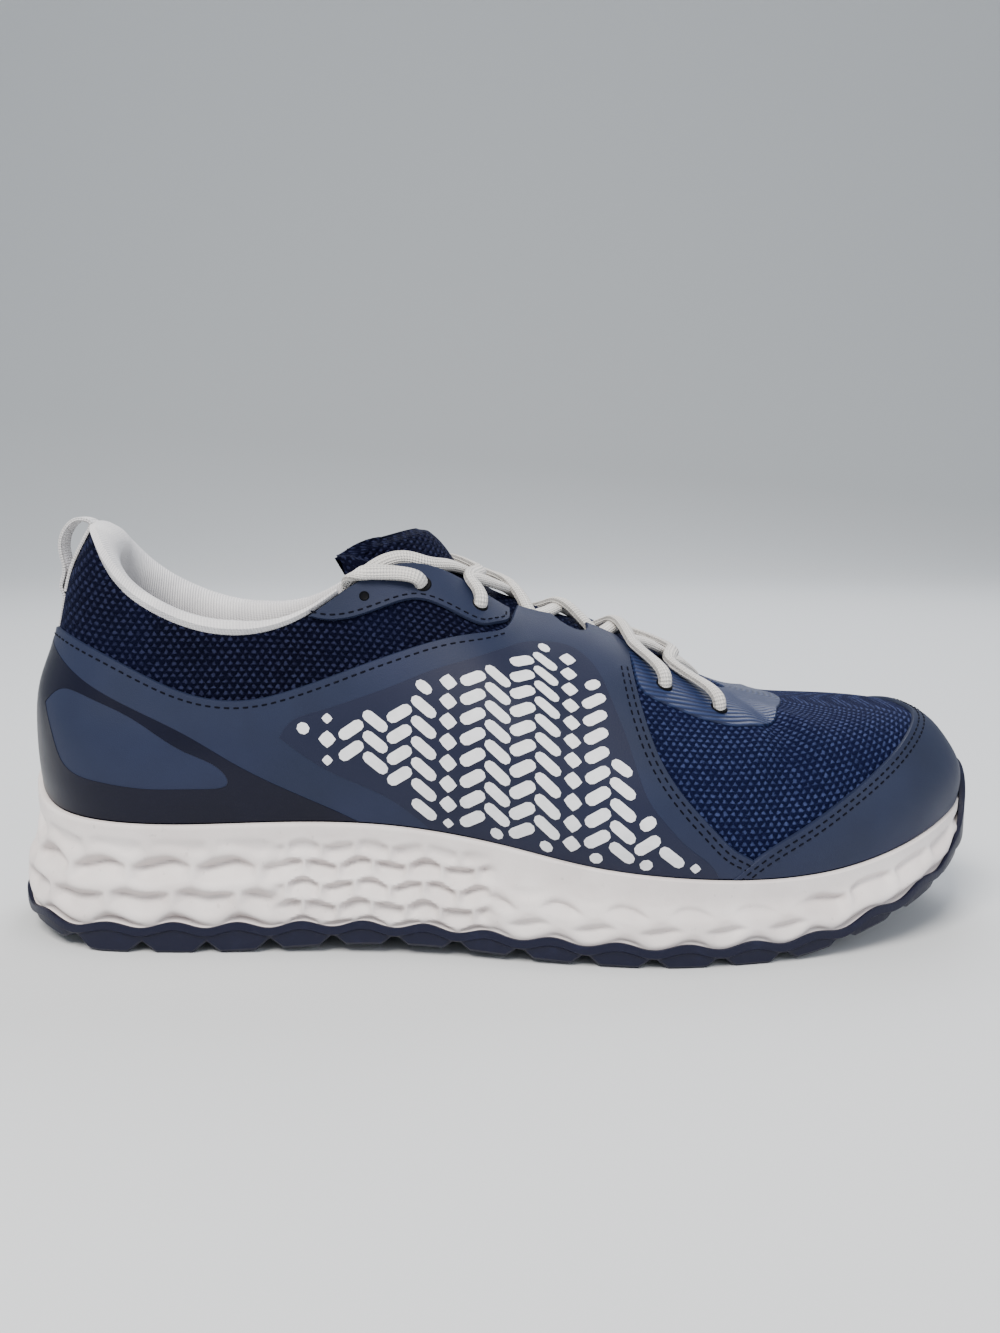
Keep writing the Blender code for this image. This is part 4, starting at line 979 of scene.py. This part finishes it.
# scoops in the side: from, to (share of the length), width and height of a cell (mm), depth (mm),
# share of the side that they fill, how far a row is shifted against the next
cellZones = [
    ("heel scoops", -0.10, 0.285, 19.0, 8.4, 3.4, 0.80, 0.30),
    ("waist scoops", 0.265, 0.49, 10.0, 5.6, 2.8, 0.82, 0.50),
    ("forefoot cells", 0.465, 0.80, 18.5, 4.8, 1.7, 0.56, 0.50),
    ("toe facets", 0.775, 1.10, 17.0, 8.5, 2.6, 0.66, 0.40),
]


def cellRelief(run, height, tall, share):
    # depth in mm of the moulded scoops at a run round the shoe and a height over the line, both mm,
    # and how much painted shade a place gets under the upper edge of its scoop
    total, paintedShade = np.zeros_like(run), np.zeros_like(run)
    for _, start, end, width, pitch, depth, fill, stagger in cellZones:
        blend = smoothStep(start, start + 0.025, share) * (1 - smoothStep(end - 0.025, end, share))
        x, y = run / width, height / pitch + 0.15
        nearest, second, above = np.full_like(x, 9.0), np.full_like(x, 9.0), np.zeros_like(x)
        row, squash = np.floor(y), pitch / width * 1.55
        for dr in (-1, 0, 1, 2):
            r = row + dr
            shift = stagger * r
            column = np.floor(x - shift)
            for dc in (-1, 0, 1, 2):
                gap = np.hypot(x - (column + dc + shift), (y - r) * squash)
                closer = gap < nearest
                second = np.where(closer, nearest, np.minimum(second, gap))
                above = np.where(closer, y - r, above)
                nearest = np.minimum(nearest, gap)
        slope = np.minimum((above + 0.55) / 0.72, (0.56 - above) / 0.39)
        bowl = smoothStep(0.0, 0.42, second - nearest) * np.clip(slope, 0.0, 1.0)
        top = 1 - smoothStep(fill - 0.14, fill + 0.08, height / tall)
        there = blend * top * smoothStep(0.0, 1.4, height)
        total -= there * depth * bowl
        # painted shade, strongest just under each scoop's top edge
        edge = smoothStep(0.0, 0.20, second - nearest)
        paintedShade += there * edge * smoothStep(0.0, 0.16, above) * min(depth / 2.4, 1)
    return total, paintedShade


def makeMidsole():
    n = sole["around"]
    u = np.arange(n) * 2 / n
    base = soleSide(u, 0.5)
    steps = np.linalg.norm(np.roll(base, -1, 0) - base, axis=1)
    run = np.concatenate([[0], np.cumsum(steps)[:-1]]) * 1000
    run = np.where(u > 1, run - run[-1] - steps[-1] * 1000, run)
    rows = [planOutset(u, shoe["gap"] + 0 * u) - np.array([0, 0, sole["cupDepth"] * mm]),
            planOutset(u, shoe["gap"] + 0 * u) - np.array([0, 0, 0.8 * mm])]
    for turn in (0.15, 0.5, 0.85):
        lip = planOutset(u, shoe["gap"] + lipAt(u) * turn)
        lip[:, 2] -= 0.8 * mm * (2 * turn - 1) ** 4 - 0.1 * mm
        rows.append(lip)
    shade = [0 * u] * len(rows)
    for share in np.linspace(0.975, 0.0, sole["up"]):
        plain = soleSide(u, share + 0 * u)
        x = plain[:, 0] / shoe["length"] + 0.5
        line = soleSide(u, 0 * u)[:, 2]
        top = planOutset(u, 0 * u)[:, 2]
        tall = (top - line) * 1000
        relief, dim = cellRelief(run, (plain[:, 2] - line) * 1000, tall, x)
        rows.append(soleSide(u, share + 0 * u, relief * mm))
        shade.append(dim)
    under = planOutset(u, shoe["gap"] - sole["lugDepth"] * mm / 2 + 0 * u)
    under[:, 2] = soleHeights(under[:, 0])[1]
    rows.append(under)
    shade.append(0 * u)
    # the second cloth coordinate carries the painted shade that the foam material darkens by
    cloth = np.stack([np.tile(run, len(rows)), np.concatenate(shade)], -1)
    faces = gridFaces(len(rows), n) + ringCap(0, n) + ringCap((len(rows) - 1) * n, n)
    addPiece("moulded_midsole", rows, faces, foam, "midsole", ["midsole"], cloth)


makeMidsole()
print("midsole done")


def makeOutsole():
    # rubber: scalloped top edge, a lug under each crest, a bumper over the toe, studs below
    n = 72 * sole["lugs"]
    u = np.arange(n) * 2 / n
    nearToe = toeNearness(u, sole["bumperReach"])
    edge = soleSide(u, 0 * u, shoe["gap"], 1.0)
    out = unit(planOutset(u, 1.0 + 0 * u) - planOutset(u, 0 * u))
    proud = (sole["proud"] + (sole["bumperWall"] - sole["proud"]) * nearToe) * mm
    rise = sole["bumperRise"] * nearToe * mm - shoe["gap"]
    bottom, line, _ = soleHeights(edge[:, 0])
    tall = np.minimum(sole["lugHeight"] * mm, 0.5 * (line - bottom))
    phase = np.abs(np.mod(u * sole["lugs"] + 0.5, 1) - 0.5) * 2
    notch = np.clip(1 - (phase - 0.02) / 0.42, 0, 1) * tall
    under = planOutset(u, shoe["gap"] - sole["lugDepth"] * mm / 2 + 0 * u)
    under[:, 2] = soleHeights(under[:, 0])[1] - 1.4 * mm
    innerEdge = edge - np.array([0, 0, 1.2 * mm]) - out * 1.2 * mm
    up = np.array([0, 0, 1.0])
    topIn = edge + (rise + 0.6 * mm)[:, None] * up - out * 0.9 * mm
    topOut = edge + out * (proud * 0.5)[:, None] + (rise + 0.75 * mm)[:, None] * up
    outer = edge + out * proud[:, None] + (rise + 0.3 * mm)[:, None] * up
    band = edge + out * proud[:, None] - up * (sole["edgeBand"] + 0.4) * mm
    crease = band - up * 0.5 * mm - out * 0.6 * mm
    footHigh = edge - out * (sole["taper"] * 0.35 * mm)
    footHigh[:, 2] = bottom + notch + 0.9 * mm
    footHigh[:, 2] = np.minimum(footHigh[:, 2], crease[:, 2] - 0.1 * mm)
    footOut = edge - out * sole["taper"] * mm
    footOut[:, 2] = np.minimum(bottom + notch, footHigh[:, 2] - 0.05 * mm)
    footIn = edge - out * sole["lugDepth"] * mm
    footIn[:, 2] = soleHeights(footIn[:, 0])[0] + notch
    base = footIn - out * sole["taper"] * mm
    baseBottom, baseLine, _ = soleHeights(base[:, 0])
    base[:, 2] = baseBottom + np.minimum(sole["lugHeight"] * mm, 0.5 * (baseLine - baseBottom))
    rows = [under, innerEdge, topIn, topOut, outer, band, crease, footHigh, footOut, footIn, base]
    faces = gridFaces(len(rows), n) + ringCap(0, n) + ringCap((len(rows) - 1) * n, n)
    points = np.concatenate(rows)
    studPoints, studFaces = makeStuds(len(points))
    addPiece("rubber_outsole", np.concatenate([points, studPoints]), faces + studFaces, rubber,
             "outsole", ["outsole"])


studs = dict(radius=4.2, pitchX=22.5, pitchY=17.0, margin=15.0, stop=0.85, arch=(0.37, 0.50), root=1.2)


def makeStuds(start):
    # six sided studs in rows under the sole, a little rounded at the foot
    plan = rimCurve(np.linspace(0, 2, 433)[:-1])
    lateral, medial = plan[:217], plan[216:][::-1]
    points, faces = [], []
    for row in range(int(shoe["length"] / (studs["pitchX"] * mm))):
        x = (row + 0.5) * studs["pitchX"] * mm
        share = x / shoe["length"]
        bare = studs["arch"][0] < share < studs["arch"][1] or share > studs["stop"]
        if bare or x < studs["margin"] * mm:
            continue
        world = x - shoe["length"] / 2
        low = np.interp(world, lateral[:, 0], lateral[:, 1]) + studs["margin"] * mm
        high = np.interp(world, medial[:, 0], medial[:, 1]) - studs["margin"] * mm
        count = max(int((high - low) / (studs["pitchY"] * mm)) + 1, 1)
        ground, line, _ = soleHeights(np.array(world))
        tall = min(sole["lugHeight"] * mm, 0.5 * (line - ground)) + studs["root"] * mm
        for k in range(count):
            y = low + (high - low) * (k + 0.5) / count
            first = start + len(points)
            for size, z in ((0.88, 0.0), (1.0, 0.0006), (1.28, tall)):
                for i in range(6):
                    turn = math.pi / 3 * i
                    reach = studs["radius"] * mm * size
                    points.append((world + reach * math.sin(turn), y + reach * math.cos(turn), ground + z))
            faces += tubeFaces(3, 6, first)
    return np.array(points), faces


makeOutsole()
print("outsole done")

# the collar: a padded roll on the topline and a lining that reaches down inside
collar = dict(roll=4.4, pad=7.5, thin=1.0, end=0.335, around=220, section=44, deep=0.16)


def tubeCloth(rings, line):
    # cloth millimetres of a padded piece: along its line, and round its section
    runs = np.repeat(runLength(line)[:, None], rings.shape[1], 1)
    return np.stack([runs * 1000, runAcross(rings) * 1000], -1).reshape(-1, 2)


def makeCollar():
    end = uWhereEdgeIs(collar["end"])
    u = np.linspace(-end, end, collar["around"])
    t = np.abs(u)
    pad = (collar["thin"] + (collar["pad"] - collar["thin"]) * (1 - smoothStep(0.55 * end, end, t))) * mm
    roll = collar["roll"] * mm * np.minimum(1.0, pad / (collar["pad"] * mm) + 0.25)
    roll = roll * (1 - 0.38 * heelNearness(u, 0.13))
    inside = shoe["wall"] + 2 * shoe["gap"]
    edge, normal = onSkin(u, 1.0 + 0 * u), unit(readSkin(skinNormal, u, 0.97 + 0 * u))
    up = unit(edge - onSkin(u, 0.94 + 0 * u))

    def along(outwards, upwards):
        return edge + up * np.asarray(upwards)[..., None] - normal * np.asarray(outwards)[..., None]

    def within(level, depth):
        return onSkin(u, level + 0 * u, -(inside + depth))

    marks = [
        within(collar["deep"], 0 * pad), within(0.55, 0 * pad), within(0.85, 0 * pad),
        along(inside + 0.0003 + 0 * pad, -0.0004 + 0 * pad),
        along(inside * 0.5 + 0 * pad, 0.0002 + 0 * pad),
        along(-0.0003 + 0 * pad, 0.0002 + 0 * pad),
        along(-0.0011 + 0 * pad, 0.0004 + 0.45 * roll), along(-0.0002 + 0 * pad, 0.0003 + 0.88 * roll),
        along(inside * 0.6 + 0 * pad, 0.0003 + roll), along(inside + 0.45 * pad, 0.85 * roll),
        along(inside + 0.9 * pad, 0.1 * roll), along(inside + 1.02 * pad, -1.2 * roll),
        within(0.70, 0.86 * pad), within(0.50, 0.5 * pad), within(0.30, 0.25 * pad + 0.0004),
        within(collar["deep"], 0.0006 + 0 * pad),
    ]
    knots = runLength(np.array(marks)[:, 30])
    section = curveThrough(knots / knots[-1], np.array(marks))
    rings = section(np.linspace(0, 1, collar["section"])).transpose(1, 0, 2)
    piece = addPiece("padded_collar", rings, tubeFaces(len(u), collar["section"]), lining, "collar",
                     ["collar"], tubeCloth(rings, edge))


makeCollar()
print("collar done")

# the tongue: padded, tucked under the throat and free at its top
tongue = dict(thick=4.2, depth=4.9, clear=2.4, free=7.0, follow=0.8, along=90, across=49)
tongueCurve = curveThrough([r[0] for r in tongueRows], [r[1:] for r in tongueRows])


def tongueCentre(station):
    x, z = tongueCurve(station)[..., 0], tongueCurve(station)[..., 1]
    return np.stack([(x - 0.5) * shoe["length"], 0 * x, z * instep], -1)


def tongueUp(station):
    along = tongueCentre(station + 0.02) - tongueCentre(station - 0.02)
    turn = np.where(along[..., 0] < 0, -1.0, 1.0)
    return unit(np.stack([-along[..., 2], 0 * turn, along[..., 0]], -1) * turn[..., None])


def tongueSide(station, level, side):
    held = min(station, tongue["free"])
    u = uWhereEdgeIs(float(tongueCurve(held)[2]))
    point = onSkin(u, level, -tongue["depth"] * mm)
    if station > tongue["free"]:
        point = point + (tongueCentre(station) - tongueCentre(held)) * tongue["follow"]
        point = point + np.array([-0.0085, 0, -0.0022]) * smoothStep(7.0, 9.0, station)
    return point * np.array([1, -side, 1])


def makeTongue():
    stations = np.linspace(0, 9, tongue["along"])
    rows = []
    for station in stations:
        centre = tongueCentre(station)
        left, right = tongueSide(station, 0.985, 1), tongueSide(station, 0.985, -1)
        base, half = (left + right) / 2, abs(left[1]) - tongue["clear"] * mm
        row = [tongueSide(station, level, 1) for level in (0.86, 0.93, 0.985)]
        for k in range(9):
            angle = math.pi * (k / 8 - 0.5)
            point = base + (centre - base) * math.cos(angle) ** 1.2
            point[1] = -half * math.sin(angle)
            row.append(point)
        row += [tongueSide(station, level, -1) for level in (0.985, 0.93, 0.86)]
        row = np.array(row)
        steps = runLength(row)
        rows.append(curveThrough(steps / steps[-1], row)(np.linspace(0, 1, tongue["across"])))
    face = np.array(rows)
    normal = unit(np.cross(np.gradient(face, axis=0), np.gradient(face, axis=1)))
    normal *= np.sign(normal[:, tongue["across"] // 2, 2].mean())
    # padding: thinner at its rim, two soft channels along it, rounded over at the free end
    across = np.abs(np.linspace(-1, 1, tongue["across"]))[None, :]
    ends = smoothStep(0, 3.0, (9 - stations) / 9 * 60)[:, None]
    puff = (1 - 0.75 * smoothStep(0.86, 1.0, across)) * (0.25 + 0.75 * ends)
    groove = 0.5 * np.exp(-((across - 0.45) / 0.05) ** 2) * smoothStep(6.0, 7.0, stations)[:, None]
    top = face - normal * ((1 - puff) * tongue["thick"] / 2 + groove)[..., None] * mm
    low = face - normal * ((1 + puff) * tongue["thick"] / 2)[..., None] * mm
    loops = np.concatenate([top, low[:, ::-1]], 1)
    piece = addPiece("padded_tongue", loops, tubeFaces(*loops.shape[:2]), knit, "tongue", ["tongue"],
                     tubeCloth(loops, tongueCentre(stations)))


makeTongue()
print("tongue done")

# the laces: flat-oval woven bands that dive through the eyelets
lace = dict(width=4.5, thick=2.7, steps=72, sides=16, lowHump=0.52, highHump=1.30, barHump=0.6)
eyeletPlaces = [(0.448, 0.895), (0.507, 0.885), (0.578, 0.920), (0.646, 0.930), (0.672, 0.760),
                (0.722, 0.700)]
hiddenEyelets = (0, 2, 3)  # the lace reaches these from inside
eyeletShares = (0.410, 0.462, 0.514, 0.570, 0.632, 0.686)


def bandMesh(path, flat, width, thick, sides, power=0.8):
    # a soft-edged band along a path: flat gives the direction of its width at each point
    along = unit(np.gradient(path, axis=0))
    wide = unit(flat - (flat * along).sum(1, keepdims=True) * along)
    high = np.cross(along, wide)
    turn = 2 * math.pi * (np.arange(sides) + 0.5) / sides
    across = np.sign(np.cos(turn)) * np.abs(np.cos(turn)) ** power * width / 2
    upward = np.sign(np.sin(turn)) * np.abs(np.sin(turn)) ** power * thick / 2
    rings = path[:, None] + wide[:, None] * across[None, :, None] + high[:, None] * upward[None, :, None]
    girth = turn / (2 * math.pi) * (width + thick) * 2
    run = np.repeat(runLength(path)[:, None], sides, 1)
    cloth = np.stack([run, np.repeat(girth[None], len(path), 0)], -1)
    return rings.reshape(-1, 3), tubeFaces(len(path), sides), cloth.reshape(-1, 2) * 1000


def tongueStation(share):
    stations = np.linspace(9, 0, 400)
    return float(np.interp(share, tongueCurve(stations)[:, 2], stations))


def laceRun(points, facing):
    # the lace's middle line through the points, and the direction of its width there
    steps = runLength(points)
    at = np.linspace(0, 1, lace["steps"])
    path = curveThrough(steps / steps[-1], points)(at)
    normal = unit(curveThrough(steps / steps[-1], facing)(at))
    return path, unit(np.cross(normal, np.gradient(path, axis=0)))


def lacePath(first, last, hump):
    # eyelet numbers on the lateral and the medial side, and how high it rides on the tongue
    marks, flats = [], []
    for number, side in ((first, 1), (last, -1)):
        u, level = eyeletPlaces[number]
        rise = (overlay["high"] + 0.2) * mm + lace["thick"] * mm / 2
        part = [onSkin(u, level - 0.012, -0.0015), onSkin(u, level + 0.008, rise * 0.9),
                onSkin(u + 0.001, level + 0.5 * (0.995 - level), rise + 0.0004), onSkin(u, 0.995, rise)]
        if number in hiddenEyelets:
            part = [onSkin(u, 0.90, -0.0046), onSkin(u, 0.94, -0.0044), onSkin(u, 0.98, -0.0036),
                    onSkin(u, 1.03, -0.0024)]
        if number == 0:
            # it runs along the edge of the throat from where the top strand tucks in
            part = [onSkin(u - 0.058, 1.015, -0.0030), onSkin(u - 0.030, 1.035, -0.0022),
                    onSkin(u, 1.042, -0.0020), onSkin(u + 0.022, 1.045, -0.0022)]
        normal = [readSkin(skinNormal, u, v) for v in (level, level, 0.97, 0.995)]
        marks.append([p * np.array([1, side, 1]) for p in part])
        flats.append([p * np.array([1, side, 1]) for p in normal])
    share = (eyeletShares[first] + eyeletShares[last]) / 2
    station = tongueStation(share)
    up = tongueUp(station)
    top = tongueCentre(station) + up * (shoe["gap"] + lace["thick"] * mm * hump)
    middles = [(m[-1] + top) / 2 + up * 0.0009 for m in marks]
    points = np.array(marks[0] + [middles[0], top, middles[1]] + marks[1][::-1])
    turned = [unit(f[-1] + up) for f in flats]
    facing = np.array(flats[0] + [turned[0], up, turned[1]] + flats[1][::-1])
    return laceRun(points, facing)


def addLace(name, bands, nodes):
    made = [bandMesh(path, flat, lace["width"] * mm, lace["thick"] * mm, lace["sides"])
            for path, flat in bands]
    addPiece(name, *merged([m[:2] for m in made]), laceWeave, "lace", nodes,
             np.concatenate([m[2] for m in made]))


def tuckPath(side):
    # from the top eyelet back over the edge of the throat and down inside, where it ends
    u, level = eyeletPlaces[0]
    rise = (overlay["high"] + 0.5) * mm + lace["thick"] * mm / 2
    rows = [(u, level - 0.010, -0.0015), (u - 0.004, level + 0.008, rise * 0.9),
            (u - 0.030, 0.955, rise), (u - 0.052, 1.005, rise * 0.9), (u - 0.064, 1.030, 0.0),
            (u - 0.070, 1.000, -0.0048), (u - 0.072, 0.930, -0.0062)]
    points = np.array([onSkin(*row) * np.array([1, side, 1]) for row in rows])
    normals = np.array([readSkin(skinNormal, r[0], min(r[1], 1.0)) * np.array([1, side, 1]) for r in rows])
    normals[4] = unit(normals[4] * 0.2 + np.array([0, 0, 1.0]))
    normals[5:] *= -1
    return laceRun(points, normals)


for n in range(5):
    bands = [lacePath(n, n + 1, lace["lowHump"]), lacePath(n + 1, n, lace["highHump"])]
    if n == 0:
        bands += [tuckPath(1), tuckPath(-1)]
    addLace(f"lace_cross_{n + 1}", bands, [f"lace_crossing_{n + 1}"])
addLace("lace_front_bar", [lacePath(5, 5, lace["barHump"])], ["lace_bar"])
print("laces done")

# punched eyelets: a near-black disc over each hole and its narrow pressed rim round it, painted as the shade
# in the hole
holes = [(0.389, 0.918, 1.25)] + [(u, v, 2.2) for k, (u, v) in enumerate(eyeletPlaces)
                                  if k not in hiddenEyelets or k == 0]
# reach as a share of the hole's radius, height over the overlay (mm)
holeRings = ((0.0, 0.07), (0.60, 0.07), (0.85, 0.12), (1.0, 0.24), (1.15, 0.02), (1.2, -0.2))


def makeEyelets():
    points, faces = [], []
    for side in (1, -1):
        for u, level, radius in holes:
            lift = (overlay["high"] + (0.4 if u < 0.53 else 0.05)) * mm
            middle, normal = onSkin(u, level), unit(readSkin(skinNormal, u, level))
            along = unit(np.cross([0, 0, 1.0], normal))
            rise = np.cross(normal, along)
            first = len(points)
            for reach, height in holeRings:
                for k in range(20):
                    turn = 2 * math.pi * k / 20
                    spot = middle + (along * math.cos(turn) + rise * math.sin(turn)) * radius * reach * mm
                    spot = spot + normal * (lift + height * mm)
                    points.append(spot * np.array([1, side, 1]))
            faces += gridFaces(len(holeRings), 20, first)
    addPiece("punched_eyelets", np.array(points), faces, holeShadePaint, "overlay")


makeEyelets()

# the pull loop, a teardrop with both ends on the back of the heel. Its free part: x and z in mm
# from the middle of the heel's top edge
loopFree = [(-10.6, -18.0), (-9.6, -13.5), (-10.4, -6.0), (-8.4, 0.4), (-4.2, 2.9), (-0.9, 1.5)]
ribbon = dict(width=9.0, thick=1.3, hug=22.0, lowLift=0.0012, highLift=0.0011)


def makePullLoop():
    crown = onSkin(0.0, 1.0)
    low = [onSkin(0.0, s, ribbon["lowLift"]) for s in (0.57, 0.60, 0.63, 0.66, 0.69)]
    free = [crown + np.array([x, 0, z]) * mm for x, z in loopFree]
    high = [onSkin(0.0, s, ribbon["highLift"]) for s in (0.975, 0.94, 0.90, 0.86, 0.82, 0.78, 0.74, 0.71)]
    marks = np.array(low + free + high)
    steps = runLength(marks)
    path = curveThrough(steps / steps[-1], marks)(np.linspace(0, 1, 110))
    path[:, 1] = 0
    flat = np.tile([0.0, 1.0, 0.0], (len(path), 1))
    points, faces, cloth = bandMesh(path, flat, ribbon["width"] * mm, ribbon["thick"] * mm, 20, 0.45)
    # it hugs the round of the heel
    points[:, 0] += points[:, 1] ** 2 / (ribbon["hug"] * mm)
    addPiece("ribbon_pull_loop", points, faces, ribbonWeave, "ribbon", ["pull_loop"], cloth)


makePullLoop()


# the loose footbed: a dished foam sheet under a cloth cover
insole = dict(around=160, thick=0.0042, dish=0.0010)


def makeInsole():
    n = insole["around"]
    inset = upperMesh["inset"] + shoe["wall"] + 2 * shoe["gap"]
    u = np.arange(n) * 2 / n
    rows = []
    for extra, rise in ((0.0, 0.0), (0.0, 0.75), (0.0005, 0.93), (0.0014, 1.0)):
        ring = planOutset(u, -inset - extra + 0 * u)
        ring[:, 2] = soleHeights(ring[:, 0])[2] + shoe["gap"] + rise * insole["thick"]
        rows.append(ring)
    rim = rows[-1]
    spine = (rim + rim[-np.arange(n) % n]) / 2
    for share in (0.15, 0.35, 0.6, 0.85, 0.97):
        ring = rim * (1 - share) + spine * share
        ring[:, 2] = soleHeights(ring[:, 0])[2] + shoe["gap"] + insole["thick"]
        ring[:, 2] -= insole["dish"] * math.sin(share * 1.5)
        rows.append(ring)
    faces = gridFaces(len(rows), n) + ringCap(0, n) + ringCap((len(rows) - 1) * n, n)
    points = np.concatenate(rows)
    addPiece("cloth_insole", points, faces, insoleCloth, "insole", ["insole"], points[:, :2] * 1000)


makeInsole()
print("loop and insole done")

# a pale floor, soft studio light, and the camera at the photograph's angle
view = dict(place=(-0.01494, -0.36624, 0.13583), pitch=0.15829, yaw=0.0354, roll=0.00242, lens=31.76)


def makeStage():
    mesh = bpy.data.meshes.new("floor")
    # a floor that sweeps up behind the shoe, so that no horizon shows
    turn = np.linspace(0, math.pi / 2, 25)
    sweep = [(-4.0, 0.0)] + [(1.2 + 1.6 * math.sin(a), 1.6 - 1.6 * math.cos(a)) for a in turn] + [(2.8, 4.0)]
    mesh.from_pydata([(x, y, z) for y, z in sweep for x in (-5.0, 5.0)], [],
                     [(2 * i, 2 * i + 1, 2 * i + 3, 2 * i + 2) for i in range(len(sweep) - 1)])
    mesh.shade_smooth()
    floor = bpy.data.objects.new("floor", mesh)
    bpy.context.scene.collection.objects.link(floor)
    mesh.materials.append(newMaterial("pale_paper", color="#d9dbdc", rough=0.9)[0])
    world = bpy.data.worlds.new("studio")
    world.use_nodes = True
    world.node_tree.nodes["Background"].inputs[0].default_value = linear("#dfe6ee")
    world.node_tree.nodes["Background"].inputs[1].default_value = 0.70
    bpy.context.scene.world = world
    # name, place, aim, size, watts, colour
    for name, place, aim, size, power, colour in (
        ("key", (-0.45, -0.75, 1.30), (0, 0, 0.05), 0.7, 32, "#fffaf4"),
        ("fill", (0.95, -0.75, 0.60), (0, 0, 0.05), 0.9, 5, "#f2f5ff"),
        ("rim", (0.25, 0.9, 1.05), (0, 0, 0.06), 0.8, 12, "#f6f8ff"),
    ):
        lamp = bpy.data.lights.new(name, "AREA")
        lamp.size, lamp.energy, lamp.color = size, power, linear(colour)[:3]
        light = bpy.data.objects.new(name, lamp)
        light.location = place
        light.rotation_euler = (Vector(aim) - Vector(place)).to_track_quat("-Z", "Y").to_euler()
        bpy.context.scene.collection.objects.link(light)


def makeCamera():
    lens = bpy.data.cameras.new("camera")
    lens.lens, lens.sensor_width, lens.clip_start = view["lens"], 36.0, 0.01
    camera = bpy.data.objects.new("camera", lens)
    pitch, yaw, roll = view["pitch"], view["yaw"], view["roll"]
    forward = np.array([math.sin(yaw) * math.cos(pitch), math.cos(yaw) * math.cos(pitch), -math.sin(pitch)])
    right = unit(np.cross(forward, [0, 0, 1]))
    up = np.cross(right, forward)
    right, up = right * math.cos(roll) + up * math.sin(roll), up * math.cos(roll) - right * math.sin(roll)
    matrix = np.eye(4)
    matrix[:3, 0], matrix[:3, 1], matrix[:3, 2], matrix[:3, 3] = right, up, -forward, view["place"]
    camera.matrix_world = Matrix(matrix.tolist())
    bpy.context.scene.collection.objects.link(camera)
    bpy.context.scene.camera = camera


makeStage()
makeCamera()
print("stage done")
